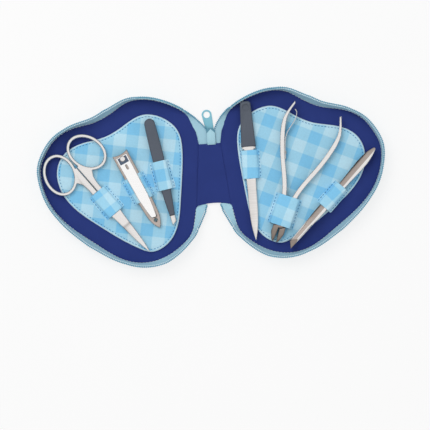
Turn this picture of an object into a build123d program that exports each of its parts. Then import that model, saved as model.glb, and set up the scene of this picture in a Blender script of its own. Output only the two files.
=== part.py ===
from build123d import *
import math
import os

os.makedirs("parts", exist_ok=True)

# A zipped manicure case, lying open. X runs across the two heart-shaped halves, Y up the
# spine between them and Z away from the table. Millimetres and degrees throughout.

# Case: panels, spine and zipper
hinge_x = 10.0  # each fold line stands this far from the middle of the spine
hinge_z = 0.75  # height of the fold lines
fold_gap = 0.3  # clearance between the spine and a half at the fold line
layer_gap = 0.05  # clearance between sewn layers that need not touch
rim_gap = 0.2  # what is sewn round the rim stands this far outside the panel
cover_t = 0.8
board_t = 1.0
lining_t = 0.5
pad_t = 1.7
shut_gap = 0.3  # left between the two coils when the case is shut
spine_top = 23.1
spine_corner = -17.0
spine_arch = 1.3  # the lower edge of the spine arches up by this much
spine_cover_t = 0.6
spine_padding_t = 0.5
spine_lining_t = 0.5
seam = 1.6  # allowance by which tape ends and padding reach into a seam
tape_t = 0.5
coil_w = 1.5
coil_h = 1.3
piping_w = 1.1
piping_h = 1.4
piping_z = 0.3
rise_length = 30.0  # the tape climbs from flat to its full height along this stretch
rim_stations = 72

# Outline of the right half, from the top of the spine round to its foot
rim_start = (10.3, 34.0)
rim_end = (12.6, -21.5)
rim_points = [
    rim_start, (11.6, 39.5), (15.6, 45.0), (23.2, 50.0), (33.3, 54.2), (43.7, 56.2), (54.1, 54.9),
    (63.4, 49.5), (71.1, 45.2), (78.3, 42.5), (90.6, 40.1), (99.2, 36.8), (106.5, 31.1),
    (111.8, 23.4), (115.5, 14.6), (115.6, 5.2), (110.0, -12.1), (99.5, -25.3), (81.1, -39.9),
    (61.7, -52.1), (51.8, -54.3), (41.6, -53.5), (31.8, -49.8), (23.2, -44.0), (16.2, -36.2),
    (13.9, -28.5), rim_end,
]
# How far the coil stands outside the panel, at fractions of the way round
rim_lean = [
    (0.0, 6.4), (0.025, 2.9), (0.05, 2.0), (0.16, 2.0), (0.245, 4.7), (0.35, 2.2), (0.42, 2.6),
    (0.5, 2.1), (0.58, 2.5), (0.675, 4.3), (0.77, 2.8), (0.86, 4.6), (0.93, 3.3), (0.96, 4.2),
    (1.0, 7.6),
]
# Outline of the gingham pad that carries the tools, on the right half
pad_points = [
    (41.2, 45.9), (29.3, 42.0), (20.8, 33.0), (18.7, 20.0), (19.8, 5.0), (22.3, -15.0),
    (24.8, -28.9), (30.5, -40.2), (38.2, -46.0), (44.5, -47.4), (52.0, -44.9), (64.2, -37.8),
    (78.3, -27.8), (92.0, -17.0), (101.5, -5.0), (104.8, 6.0), (102.8, 17.6), (98.6, 23.2),
    (91.5, 27.6), (81.0, 30.4), (72.0, 32.2), (60.0, 37.7), (49.5, 44.0),
]

panel_top = cover_t + board_t + lining_t
pad_top = panel_top + pad_t
half_depth = hinge_z + hinge_x  # floor to the plane where the two halves meet
coil_top = half_depth - shut_gap / 2
spine_x = hinge_x - fold_gap
cover_x = hinge_x + fold_gap
raised_x = hinge_x + hinge_z + fold_gap + layer_gap  # what stands above the fold line keeps back
spine_z = spine_cover_t + spine_padding_t + spine_lining_t
tape_rise = coil_top - coil_h / 2 - panel_top
tape_end_x = hinge_x - (panel_top - hinge_z) - fold_gap  # clears the panels when they stand up

# Zipper slider and pull
slider_x = 1.3
slider_low = 25.6
slider_length = 8.0
slider_wide = 6.2
slider_round = 2.0
slider_narrow = 5.0
slider_plate = 0.5
slider_mouth = 1.0
slider_z = 1.4
slider_post = 1.0
arch_w = 1.4
arch_t = 0.4
pull_t = 0.6
pull_w = 6.8
pull_neck_w = 5.0
pull_length = 17.2
pull_tilt = 8.0
pull_wall = 1.2
pull_hole_l = 4.4
pull_eye_l = 3.2
pull_eye_y = 29.2
patch_w = 5.5
patch_t = 0.45
patch_length = 10.7

# Tools and the loops that hold them
tool_gap = 0.3  # clearance between a tool and the pad or loop
tool_z = pad_top + tool_gap
fit = 0.05  # radial clearance of a pin in its hole
loop_t = 0.7
loop_round = 1.6
loop_tight_round = 0.5
flange_t = 0.6
flange_w = 2.6

scissors_tip = (-45.4, -47.4)
scissors_turn = 127.0
scissors_pivot = 44.5
scissors_blade_t = 1.3
scissors_w = 7.8
scissors_blade_side = [(0.0, 0.0), (10.0, 1.7), (24.0, 2.8), (36.0, 3.9)]
scissors_shank_side = [(76.0, 3.4), (67.5, 7.0), (64.0, 4.6), (59.0, 3.9)]
scissors_shank_gap = 0.25
scissors_heel = 4.4  # the blades end this far behind the screw
scissors_ring_x = 79.3
scissors_ring_y = 11.9
scissors_ring_a = 14.5
scissors_ring_b = 11.2
scissors_ring_tilt = 18.0
scissors_wire = 2.1
scissors_screw_r = 1.4
scissors_head_r = 2.1
scissors_head_t = 0.5
scissors_slot_w = 0.5
scissors_loop = (34.8, 54.7)
scissors_loop_w = 10.4

clipper_tail = (-37.5, -31.5)
clipper_turn = 114.5
clipper_length = 57.5
clipper_w = 10.8
clipper_leaf_side = [(0.0, 0.0), (4.0, 2.6), (12.0, 4.4), (24.0, 5.4)]
clipper_jaw_hollow = 1.2
clipper_leaf_t = 1.0
clipper_pin_back = 4.5  # the pin stands this far behind the jaw
clipper_pin_r = 1.2
clipper_pin_rim = 0.7
clipper_pin_head = 0.4
clipper_jaw_gap = 1.2
clipper_lever_side = [(7.4, 0.0), (8.8, 1.7), (13.0, 2.9), (24.0, 4.1)]
clipper_lever_back = 2.4
clipper_lever_t = 1.2
clipper_notch = (3.4, 1.2)
clipper_notch_back = 10.7
clipper_lever_swing = 1.0
clipper_rivet_x = 10.5
clipper_rivet_r = 1.3
clipper_rivet_head = 0.6
clipper_rivet_play = 0.1  # lets the upper leaf rock under the rivet's head
clipper_bend_x = 12.5
clipper_jaw_lip = 0.7
clipper_jaw_t = 1.1
clipper_jaw_run = 1.4  # flat stretch of the upper leaf behind the jaw
clipper_hole_x = 6.0
clipper_hole_r = 1.2
clipper_pin_x = clipper_length - clipper_pin_back
clipper_loop = (21.0, 40.0)

pusher_tip = (-27.4, -30.4)
pusher_turn = 100.0
pusher_length = 74.2
pusher_handle_x = 7.0
pusher_side = [(7.0, 1.8), (24.0, 3.2), (45.0, 4.0), (70.6, 3.6)]
pusher_blade_side = [(0.2, 1.3), (2.6, -1.7)]
pusher_neck_w = 3.4
pusher_tang_w = 2.2
pusher_edge = 0.9
pusher_handle_t = 3.8
pusher_tang = 12.0
pusher_tip_t = 1.2
pusher_loop = (24.3, 45.0)
pusher_loop_w = 8.6

file_tip = (26.9, -44.8)
file_turn = 90.6
file_length = 94.9
file_handle_x = 63.9
file_handle_t = 3.0
file_blade_t = 1.2
file_blade_side = [(0.0, 0.0), (10.0, 2.1), (24.0, 3.0), (42.0, 3.3)]
file_blade_w = 6.6
file_seat = 1.5  # the blade's full width reaches this far into the handle
file_bolster_w = 9.2
file_bolster_l = 1.6
file_tang_w = 4.0
file_tang_l = 20.0
file_end_w = 7.0
file_grip_w = 10.0
file_corner = 2.4
file_edge = 0.5
file_dimple_back = 4.4
file_dimple_r = 2.3
file_dimple_depth = 0.5
file_loop = (41.8, 61.9)

nippers_tip = (39.0, -46.8)
nippers_turn = 67.8
nippers_pivot = 14.5
nippers_jaw_side = [(0.2, 0.15), (1.4, 1.7), (6.5, 3.9)]
nippers_jaw_back = 3.0
nippers_neck = [(0.0, 0.2), (7.0, 0.6), (7.0, 3.4), (0.0, 3.9)]
nippers_head_w = 8.0
nippers_head_t = 4.8
nippers_handle_w = 3.0
nippers_pin_r = 1.6
nippers_pin_head_r = 2.2
nippers_pin_head_t = 0.4
nippers_open = 8.0
nippers_handle = [
    (17.0, 2.2), (25.0, 2.7), (34.0, 4.0), (53.7, 11.4), (71.3, 17.5), (82.5, 19.3), (94.9, 16.1),
]
nippers_spring_t = 0.6
nippers_spring_h = 2.4
nippers_spring_seat = (0.49, 0.55, 0.61)  # fractions of the handle's line that the spring lies on
nippers_spring_free = [(73.0, 14.9), (80.0, 13.3), (86.0, 12.5), (89.0, 13.3), (90.2, 15.0)]
nippers_stud_r = 0.7
nippers_stud_head_r = 1.2
nippers_stud_head_t = 0.5
nippers_stud_depth = 1.4
nippers_loop = (11.6, 33.2)
nippers_loop_w = 13.4

tweezers_tip = (48.55, -50.65)
tweezers_turn = 45.0
tweezers_length = 89.1
# half of the width in plan, and the upper arm's two faces above the middle between the arms
tweezers_side = [
    (tweezers_length * share, half)
    for share, half in ((0.039, 1.9), (0.101, 2.2), (0.247, 2.55), (0.382, 2.9), (0.617, 2.45),
                        (0.808, 3.1), (0.920, 2.6), (0.992, 0.9))
]
tweezers_corner = (0.0, -1.7)
tweezers_bow = [(0.191, 1.2, 2.3), (0.449, 1.3, 2.4), (0.707, 0.75, 1.85), (0.931, 0.1, 1.2)]
tweezers_inner = [(-1.0, 0.6), *((tweezers_length * share, low) for share, low, _ in tweezers_bow)]
tweezers_outer = [(-1.0, 1.4), *((tweezers_length * share, high) for share, _, high in tweezers_bow)]
tweezers_end_t = 1.1
tweezers_mid = 2.4
tweezers_seat_gap = 0.02
tweezers_loop = (35.7, 55.3)
tweezers_loop_w = 7.6


def save(name, *solids):
    """Write one node, as one solid or as a group of separate solids."""
    shape = solids[0] if len(solids) == 1 else Compound(list(solids))
    export_step(shape, f"parts/{name}.step")


def slab(outline, low, high):
    """A flat plate between two heights, from a closed outline in XY."""
    return extrude(Pos(0, 0, low) * outline, high - low)


def plate(points, low, high):
    """A flat plate between two heights, from straight-sided corner points."""
    return slab(make_face(Polyline(*points, close=True)), low, high)


def rod(x, y, radius, low, high):
    return Pos(x, y, low) * extrude(Circle(radius), high - low)


def box(x0, x1, y0, y1, z0, z1):
    return Pos((x0 + x1) / 2, (y0 + y1) / 2, (z0 + z1) / 2) * Box(x1 - x0, y1 - y0, z1 - z0)


def profile_plate(points, x0, x1):
    """A sheet bent in the YZ plane and running from x0 to x1."""
    face = make_face(Polyline(*[(x0, y, z) for y, z in points], close=True))
    return extrude(face, x1 - x0, dir=(1, 0, 0))


def solid_of(shape):
    """The one solid of a finished piece."""
    return shape.solids().sort_by(SortBy.VOLUME)[-1]


def left(shape):
    return mirror(shape, about=Plane.YZ)


def across(side):
    """The same outline on the other side of the tool's middle line."""
    return [(x, -y) for x, y in side]


# ---------------------------------------------------------------- case halves
rim_line = Spline(*rim_points)


def lean_at(t):
    """How far the coil's outer edge stands outside the panel at fraction t of the rim."""
    for (t0, lean0), (t1, lean1) in zip(rim_lean, rim_lean[1:]):
        if t <= t1:
            return lean0 + (lean1 - lean0) * (t - t0) / (t1 - t0)
    return rim_lean[-1][1]


def rise_at(t):
    """Height of the coil's middle above the panel: the tape's width sets it, less near the ends."""
    reach = lean_at(t) - coil_w
    full = math.sqrt(max(tape_rise ** 2 - reach ** 2, 0.0))
    along = min(1.0, min(t, 1 - t) * rim_line.length / rise_length)
    climb = along * along * (3 - 2 * along)
    return max(coil_h / 2, full * climb)


def ribbon(profile):
    """A strip round the rim whose section, in (outward, up) points, is profile(t)."""
    sections = []
    for step in range(rim_stations + 1):
        t = step / rim_stations
        foot = rim_line @ t
        way = rim_line % t
        points = [
            (foot.X - way.Y * out, foot.Y + way.X * out, up) for out, up in profile(t)
        ]
        sections.append(make_face(Polyline(*points, close=True)))
    return solid_of(loft(sections, ruled=True))


def tape_section(t):
    reach = lean_at(t) - coil_w - layer_gap
    rise = rise_at(t)
    run = max(reach - rim_gap - tape_t, 0.0)
    side = tape_t * rise / math.hypot(run, rise)
    under = tape_t * run / math.hypot(run, rise)
    top = panel_top + rise
    return [
        (rim_gap, panel_top), (reach - side, top), (reach, top - under),
        (rim_gap + side, panel_top - under),
    ]


def coil_section(t):
    lean = lean_at(t)
    middle = panel_top + rise_at(t)
    return [
        (lean - coil_w, middle - coil_h / 2), (lean, middle - coil_h / 2),
        (lean, middle + coil_h / 2), (lean - coil_w, middle + coil_h / 2),
    ]


def piping_section(t):
    far = rim_gap + piping_w
    high = piping_z + piping_h
    return [(rim_gap, piping_z), (far, piping_z), (far, high), (rim_gap, high)]


def panel_face(inner_x):
    """The heart outline, closed along the fold line at inner_x."""
    foot = (inner_x, spine_corner)
    head = (inner_x, rim_start[1])
    lines = [rim_line, Line(rim_end, foot), Line(foot, head)]
    if inner_x != rim_start[0]:
        lines.append(Line(head, rim_start))
    return make_face(lines)


def panel_layer(low, high):
    """One layer of the panel. Above the fold line it keeps back from the turning spine."""
    whole = slab(panel_face(cover_x), low, high)
    if high > hinge_z + layer_gap + cover_t / 2:
        strip = box(0, raised_x, spine_corner - 4, rim_start[1] + 1, low - 1, high + 1)
        whole = whole - strip
    return solid_of(whole)


def make_half():
    """The right half's own pieces, by name. The left half is their mirror image."""
    board_z = cover_t + board_t
    return {
        "cover": panel_layer(0, cover_t),
        "board": panel_layer(cover_t, board_z),
        "lining": panel_layer(board_z, panel_top),
        "tool_panel": slab(make_face(Spline(*pad_points, periodic=True)), panel_top, pad_top),
        "piping": ribbon(piping_section),
        "zipper_tape": ribbon(tape_section),
        "zipper_coil": ribbon(coil_section),
    }


# ---------------------------------------------------------------- spine
def spine_face(top, drop):
    """The spine's outline, with its arched lower edge raised by drop."""
    low_left = (-spine_x, spine_corner + drop)
    low_right = (spine_x, spine_corner + drop)
    arch = ThreePointArc(low_left, (0, spine_corner + drop + spine_arch), low_right)
    sides = Polyline(low_right, (spine_x, top), (-spine_x, top), low_left)
    return make_face([arch, sides])


def make_spine():
    padding_z = spine_cover_t + spine_padding_t
    return {
        "spine_cover": slab(spine_face(spine_top, 0), 0, spine_cover_t),
        "spine_padding": slab(
            spine_face(spine_top - seam - layer_gap, seam + layer_gap), spine_cover_t, padding_z
        ),
        "spine_lining": slab(spine_face(spine_top, 0), padding_z, spine_z),
    }


def make_tape_ends():
    """The four tape ends sewn into the spine's seams, which fold with the spine."""
    low = spine_cover_t + layer_gap
    mid = slider_z + slider_plate + slider_mouth / 2
    flat = slider_low + 0.5
    end = slider_low + slider_length
    side = [
        (spine_top - seam, low), (spine_top, low), (flat, mid - tape_t / 2), (end, mid - tape_t / 2),
        (end, mid + tape_t / 2), (flat, mid + tape_t / 2), (spine_top, low + tape_t - layer_gap * 2),
        (spine_top - seam, low + tape_t - layer_gap * 2),
    ]
    half_post = slider_post / 2 + 2 * layer_gap
    ends = [
        profile_plate(side, -tape_end_x, slider_x - half_post),
        profile_plate(side, slider_x + half_post, tape_end_x),
    ]
    high = low + tape_t - layer_gap * 2
    foot = rim_end[1] + layer_gap * 4
    inner_top = rim_end[0] - lean_at(1) + coil_w
    corners = [
        (inner_top - 1.3, spine_corner + seam), (spine_x, spine_corner + seam),
        (spine_x, foot), (inner_top, foot),
    ]
    lower = plate(corners, low, high)
    return ends + [lower, left(lower)]


def make_coil_ends():
    """The last few coils below the spine, along the inner edge of each tape end."""
    low = spine_cover_t + layer_gap
    foot = rim_end[1] + layer_gap * 4
    inner = rim_end[0] - lean_at(1) + coil_w - layer_gap
    corners = [
        (inner - coil_w - 1.0, spine_corner - layer_gap), (inner - 1.0, spine_corner - layer_gap),
        (inner, foot), (inner - coil_w, foot),
    ]
    end = plate(corners, low, low + coil_h / 2)
    return [end, left(end)]


def make_slider():
    """Two plates joined by a post, with an arch underneath that holds the pull."""
    top = slider_low + slider_length
    shape = [
        (slider_x - slider_narrow / 2, slider_low), (slider_x + slider_narrow / 2, slider_low),
        (slider_x + slider_wide / 2, top), (slider_x - slider_wide / 2, top),
    ]
    mouth = slider_z + slider_plate
    upper = mouth + slider_mouth
    outline = fillet(make_face(Polyline(*shape, close=True)).vertices(), slider_round)
    body = slab(outline, slider_z, mouth) + slab(outline, upper, upper + slider_plate)
    half = slider_post / 2
    body += box(slider_x - half, slider_x + half, top - 2.8, top - 0.4, mouth, upper)
    x0, x1 = slider_x - arch_w / 2, slider_x + arch_w / 2
    y0, y1 = pull_eye_y - 1.9, pull_eye_y + 2.1
    body += box(x0, x1, y0, y1, 0, arch_t)
    body += box(x0, x1, y0, y0 + 0.8, 0, slider_z)
    body += box(x0, x1, y1 - 0.8, y1, 0, slider_z)
    return solid_of(body)


def make_pull():
    """A flat tab with an eye round the slider's arch and an oval hole at its free end."""
    tail = pull_eye_y + pull_length
    bar = (slider_z - arch_t - pull_t) / 2 + arch_t
    y_round = tail - pull_w / 2
    shape = make_face(Polyline(
        (slider_x - pull_neck_w / 2, pull_eye_y - pull_t / 2),
        (slider_x + pull_neck_w / 2, pull_eye_y - pull_t / 2),
        (slider_x + pull_w / 2, y_round), (slider_x - pull_w / 2, y_round), close=True,
    ))
    shape += Pos(slider_x, y_round) * Circle(pull_w / 2)
    hole_w = pull_w - 2 * pull_wall
    hole = Pos(slider_x, tail - pull_wall - pull_hole_l / 2) * Ellipse(hole_w / 2, pull_hole_l / 2)
    eye_y = pull_eye_y + pull_t / 2
    eye = Pos(slider_x, eye_y + pull_eye_l / 2) * Rectangle(arch_w + 4 * tool_gap, pull_eye_l)
    flat = solid_of(slab(shape - hole - eye, bar, bar + pull_t))
    droop = math.degrees(math.asin((bar - layer_gap) / pull_length))
    eye_centre = (slider_x, pull_eye_y, bar + pull_t / 2)
    drooped = flat.rotate(Axis(eye_centre, (1, 0, 0)), -droop)
    return drooped.rotate(Axis(eye_centre, (0, 0, 1)), pull_tilt)


def make_patch():
    """The pointed tab that covers the zipper's start."""
    high = slider_z + 2 * slider_plate + slider_mouth + layer_gap
    foot = spine_top - seam / 2
    tip = foot + patch_length
    flat = slider_low - 2 * layer_gap
    side = [
        (foot, spine_z + layer_gap), (flat, high), (tip, high), (tip, high + patch_t),
        (flat, high + patch_t), (foot, spine_z + layer_gap + patch_t),
    ]
    tab = profile_plate(side, slider_x - patch_w / 2, slider_x + patch_w / 2)
    point = patch_w / 2
    for way in (-1, 1):
        edge = slider_x + way * patch_w / 2
        corner = [(edge, tip - point), (slider_x, tip), (edge, tip)]
        tab = tab - plate(corner, 0, high + patch_t + 1)
    return solid_of(tab)


# ---------------------------------------------------------------- loops
def make_loop(span, width, height, flanges=(1, 1), middle=0.0, corner=loop_round):
    """A sewn strap over a tool: an arch of the given inner width and height, with flanges."""
    start, end = span
    half = width / 2
    reach = half + loop_t
    outer = box(start, end, middle - reach, middle + reach, pad_top, pad_top + height + loop_t)
    outer = fillet(outer.edges().filter_by(Axis.X).group_by(Axis.Z)[-1], corner + loop_t)
    inner = box(start - 1, end + 1, middle - half, middle + half, pad_top - 1, pad_top + height)
    inner = fillet(inner.edges().filter_by(Axis.X).group_by(Axis.Z)[-1], corner)
    arch = outer - inner
    for way, wanted in zip((-1, 1), flanges):
        if wanted:
            edges = sorted((middle + way * (half + loop_t / 2), middle + way * (half + flange_w)))
            arch += box(start, end, edges[0], edges[1], pad_top, pad_top + flange_t)
    return solid_of(arch)


def place(tip, turn):
    return Pos(tip[0], tip[1], 0) * Rot(0, 0, turn)


# ---------------------------------------------------------------- scissors
def scissors_half(way, low):
    """One half: its blade at its own level, and its shank and ring on the side of way."""
    half = scissors_w / 2
    heel = scissors_pivot + scissors_heel
    back, edge = scissors_blade_side, across(scissors_blade_side)
    block = Polyline(back[-1], (heel, half), (heel, -half), edge[-1])
    part = slab(make_face([Spline(*back), Spline(*edge), block]), low, low + scissors_blade_t)
    full_low = tool_z + layer_gap
    full_high = tool_z + 2 * scissors_blade_t
    start, inner = heel - tool_gap, scissors_shank_gap
    shank = Polyline(
        (start, inner), (scissors_shank_side[0][0], inner), *scissors_shank_side, (start, half),
        close=True,
    )
    ring_place = Pos(scissors_ring_x, scissors_ring_y) * Rot(0, 0, -scissors_ring_tilt)
    outer = Ellipse(scissors_ring_a, scissors_ring_b)
    hole = Ellipse(scissors_ring_a - scissors_wire, scissors_ring_b - scissors_wire)
    grip = make_face(shank) + ring_place * outer - ring_place * hole
    reach = scissors_ring_a + scissors_ring_x
    above = Pos(reach / 2, reach / 2 + inner) * Rectangle(2 * reach, reach)
    grip = slab(grip & above, full_low, full_high)
    # the other half's level is cleared round the joint, so that the two can turn
    other = tool_z if low > tool_z else tool_z + scissors_blade_t
    grip -= box(0, heel + 1.6, -20, 20, other - layer_gap, other + scissors_blade_t + layer_gap)
    if way < 0:
        grip = mirror(grip, about=Plane.XZ)
    part += grip
    part -= rod(scissors_pivot, 0, scissors_screw_r + fit, 0, 20)
    return solid_of(part)


def make_scissors():
    """Both halves and the screw, tip at the origin and rings along +X."""
    top = tool_z + 2 * scissors_blade_t + fit
    screw = rod(scissors_pivot, 0, scissors_screw_r, tool_z + fit, top + layer_gap)
    screw += rod(scissors_pivot, 0, scissors_head_r, top + layer_gap, top + layer_gap + scissors_head_t)
    slot_from, slot_to = scissors_pivot - 2 * scissors_head_r, scissors_pivot + 2 * scissors_head_r
    slot_half, slot_floor = scissors_slot_w / 2, top + scissors_head_t / 2
    slot = box(slot_from, slot_to, -slot_half, slot_half, slot_floor, slot_floor + 2 * scissors_head_t)
    where = place(scissors_tip, scissors_turn)
    height = tool_gap + 2 * scissors_blade_t + scissors_head_t + 2 * layer_gap + tool_gap
    return {
        "scissors_lower_half": where * scissors_half(1, tool_z),
        "scissors_upper_half": where * scissors_half(-1, tool_z + scissors_blade_t + fit),
        "scissors_screw": where * solid_of(screw - slot),
        "scissors_loop": where * make_loop(scissors_loop, scissors_loop_w, height),
    }


# ---------------------------------------------------------------- nail clipper
def leaf_face():
    """A clipper leaf in plan: pointed tail at the origin, hollow jaw edge at its head."""
    side, far = clipper_leaf_side, across(clipper_leaf_side)
    half, head = side[-1][1], clipper_length
    jaw = ThreePointArc((head, half), (head - clipper_jaw_hollow, 0), (head, -half))
    edges = [Line(side[-1], (head, half)), jaw, Line((head, -half), far[-1])]
    return make_face([Spline(*side), *edges, Spline(*far)])


def make_clipper():
    """Two sprung leaves riveted at the tail, a headed pin through both and a folded lever."""
    where = place(clipper_tail, clipper_turn)
    face = leaf_face()
    low = tool_z
    seat = low + clipper_leaf_t
    length = clipper_length
    jaw = clipper_jaw_t + clipper_jaw_hollow
    lip = seat + clipper_jaw_lip
    lower = slab(face, low, seat)
    lower += slab(face & Pos(length - jaw / 2, 0) * Rectangle(jaw, 2 * clipper_w), low, lip)
    pin_hole = rod(clipper_pin_x, 0, clipper_pin_r + fit, 0, 20)
    chain_hole = rod(clipper_hole_x, 0, clipper_hole_r, 0, 20)
    rivet_hole = rod(clipper_rivet_x, 0, clipper_rivet_r + fit, 0, 20)
    lower = solid_of(lower - pin_hole - chain_hole - rivet_hole)
    # the upper leaf lies flat to the rivet, then climbs to the jaw
    bend, tail_low = clipper_bend_x, seat + fit
    head_low = lip + clipper_jaw_gap + clipper_jaw_lip
    inside = length - clipper_jaw_t
    side = [
        (-1, tail_low), (bend, tail_low), (inside - clipper_jaw_run, head_low), (inside, head_low),
        (inside, lip + clipper_jaw_gap), (length + 1, lip + clipper_jaw_gap),
        (length + 1, head_low + clipper_leaf_t), (inside - clipper_jaw_run, head_low + clipper_leaf_t),
        (bend, tail_low + clipper_leaf_t), (-1, tail_low + clipper_leaf_t),
    ]
    wall = extrude(make_face(Polyline(*[(x, -20, z) for x, z in side], close=True)), 40, dir=(0, 1, 0))
    upper = wall & slab(face, 0, 20)
    upper = solid_of(upper - rod(clipper_pin_x, 0, clipper_pin_r + 4 * fit, 0, 20) - chain_hole - rivet_hole)
    rivet_top = tail_low + clipper_leaf_t + clipper_rivet_play
    rivet = rod(clipper_rivet_x, 0, clipper_rivet_r, low, rivet_top)
    rivet += rod(clipper_rivet_x, 0, clipper_rivet_r + clipper_rivet_head, rivet_top, rivet_top + 0.3)
    lever_low = head_low + clipper_leaf_t + 0.2
    lever_top = lever_low + clipper_lever_t
    pin = rod(clipper_pin_x, 0, clipper_pin_r, low, lever_top)
    pin += rod(clipper_pin_x, 0, clipper_pin_r + clipper_pin_rim, lever_top, lever_top + clipper_pin_head)
    side, far = clipper_lever_side, across(clipper_lever_side)
    lever_head = length - clipper_lever_back
    block = Polyline(side[-1], (lever_head, side[-1][1]), (lever_head, far[-1][1]), far[-1])
    lever = slab(make_face([Spline(*side), block, Spline(*far)]), lever_low, lever_top)
    lever -= rod(clipper_pin_x, 0, clipper_pin_r + fit, 0, 20)
    notch = Pos(length - clipper_notch_back, 0, 0) * extrude(SlotOverall(*clipper_notch), 20)
    lever = solid_of(lever - notch)
    turn = Pos(clipper_pin_x, 0, 0) * Rot(0, 0, clipper_lever_swing) * Pos(-clipper_pin_x, 0, 0)
    loop_top = lever_low - tool_gap - pad_top - loop_t
    return {
        "clipper_lower_leaf": where * lower,
        "clipper_upper_leaf": where * upper,
        "clipper_rivet": where * solid_of(rivet),
        "clipper_pin": where * solid_of(pin),
        "clipper_lever": where * turn * lever,
        "clipper_loop": where * make_loop(
            clipper_loop, clipper_w + 2 * tool_gap, loop_top, corner=loop_tight_round
        ),
    }


# ---------------------------------------------------------------- cuticle pusher
def make_pusher():
    """A moulded grip with a slanted steel tip set into it."""
    where = place(pusher_tip, pusher_turn)
    side, far = pusher_side, across(pusher_side)
    cap = ThreePointArc(side[-1], (pusher_length, 0), far[-1])
    outline = make_face([Spline(*side), cap, Spline(*far), Line(far[0], side[0])])
    grip = slab(outline, tool_z, tool_z + pusher_handle_t)
    grip = fillet(grip.edges().group_by(Axis.Z)[-1], pusher_edge)
    mid = tool_z + pusher_handle_t / 2
    tang_end = pusher_handle_x + pusher_tang
    low, high = mid - pusher_tip_t / 2, mid + pusher_tip_t / 2
    half = pusher_tang_w / 2
    socket = box(pusher_handle_x - 1, tang_end, -half, half, low, high)
    shoulder = pusher_handle_x - layer_gap
    neck = [(shoulder, -pusher_neck_w / 2), (shoulder, pusher_neck_w / 2)]
    blade = plate(pusher_blade_side + neck, low, high)
    tang = box(pusher_handle_x - 1, tang_end - fit, fit - half, half - fit, low + fit, high - fit)
    height = pusher_handle_t + 2 * tool_gap
    return {
        "pusher_handle": where * solid_of(grip - socket),
        "pusher_blade": where * solid_of(blade + tang),
        "pusher_loop": where * make_loop(pusher_loop, pusher_loop_w, height),
    }


# ---------------------------------------------------------------- nail file
def make_file():
    """A steel blade whose tang runs into a flat moulded handle."""
    where = place(file_tip, file_turn)
    half = file_blade_w / 2
    mid = tool_z + file_handle_t / 2
    side, far = file_blade_side, across(file_blade_side)
    seat_x = file_handle_x + file_seat
    back = Polyline(side[-1], (seat_x, half), (seat_x, -half), far[-1])
    low = mid - file_blade_t / 2
    high = low + file_blade_t
    blade = slab(make_face([Spline(*side), back, Spline(*far)]), low, high)
    half_bolster, half_tang = file_bolster_w / 2, file_tang_w / 2
    blade += box(file_handle_x - file_bolster_l, file_handle_x, -half_bolster, half_bolster, low, high)
    tang_x = file_handle_x + file_tang_l
    blade += box(file_handle_x, tang_x, -half_tang, half_tang, low, high)
    start = file_handle_x + layer_gap
    half_end = file_end_w / 2
    half_grip = file_grip_w / 2
    grip = make_face(Polyline(
        (start, -half_grip), (file_length, -half_end), (file_length, half_end), (start, half_grip),
        close=True,
    ))
    grip = fillet(grip.vertices().group_by(Axis.X)[-1], file_corner)
    handle = slab(grip, tool_z, tool_z + file_handle_t)
    handle = chamfer(handle.edges().group_by(Axis.Z)[-1], file_edge)
    mouth = seat_x + layer_gap
    wide, narrow = half + fit, half_tang + fit
    handle -= box(file_handle_x - 1, mouth, -wide, wide, low - fit, high + fit)
    handle -= box(mouth - 1, tang_x + fit, -narrow, narrow, low - fit, high + fit)
    dimple_z = tool_z + file_handle_t - file_dimple_depth
    handle -= rod(file_length - file_dimple_back, 0, file_dimple_r, dimple_z, dimple_z + file_handle_t)
    height = high + tool_gap - pad_top
    return {
        "file_handle": where * solid_of(handle),
        "file_blade": where * solid_of(blade),
        "file_loop": where * make_loop(
            file_loop, file_bolster_w + 2 * tool_gap, height, (1, 0), corner=loop_tight_round
        ),
    }


# ---------------------------------------------------------------- cuticle nippers
def nipper_bar(points, width, low, high):
    """A flat bar of the given width that follows a smooth line."""
    return slab(trace(Spline(*points), width), low, high)


def nipper_half(way, low):
    """A jaw on one side of the rivet and a bowed handle on the other."""
    half = nippers_head_w / 2
    mid_low = tool_z + (nippers_head_t - nippers_handle_w) / 2
    full = tool_z + nippers_head_t
    hub = rod(nippers_pivot, 0, half, low, low + nippers_head_t / 2 - fit / 2)
    root = nippers_pivot - nippers_jaw_back
    jaw = make_face(Polyline(*nippers_jaw_side, (root, half), (root, nippers_jaw_side[0][1]), close=True))
    jaw = slab(jaw, tool_z, full)
    middle = low + nippers_head_t / 2 - fit / 2
    clear = rod(nippers_pivot, 0, half + tool_gap, 0, 2 * full)
    jaw -= clear - box(0, 2 * nippers_pivot, -nippers_head_w, nippers_head_w, low, middle)
    jaw = jaw.rotate(Axis((nippers_pivot, 0, 0), (0, 0, 1)), -nippers_open / 2)
    handle = nipper_bar(nippers_handle, nippers_handle_w, mid_low, mid_low + nippers_handle_w)
    handle -= clear
    corners = [(nippers_pivot + x, y) for x, y in nippers_neck]
    neck = plate(corners, low, low + nippers_head_t / 2 - fit / 2)
    if way > 0:
        jaw = mirror(jaw, about=Plane.XZ)
    else:
        handle = mirror(handle, about=Plane.XZ)
        neck = mirror(neck, about=Plane.XZ)
    part = hub + neck + jaw + handle
    part -= rod(nippers_pivot, 0, nippers_pin_r + fit, 0, 30)
    return solid_of(part)


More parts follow.
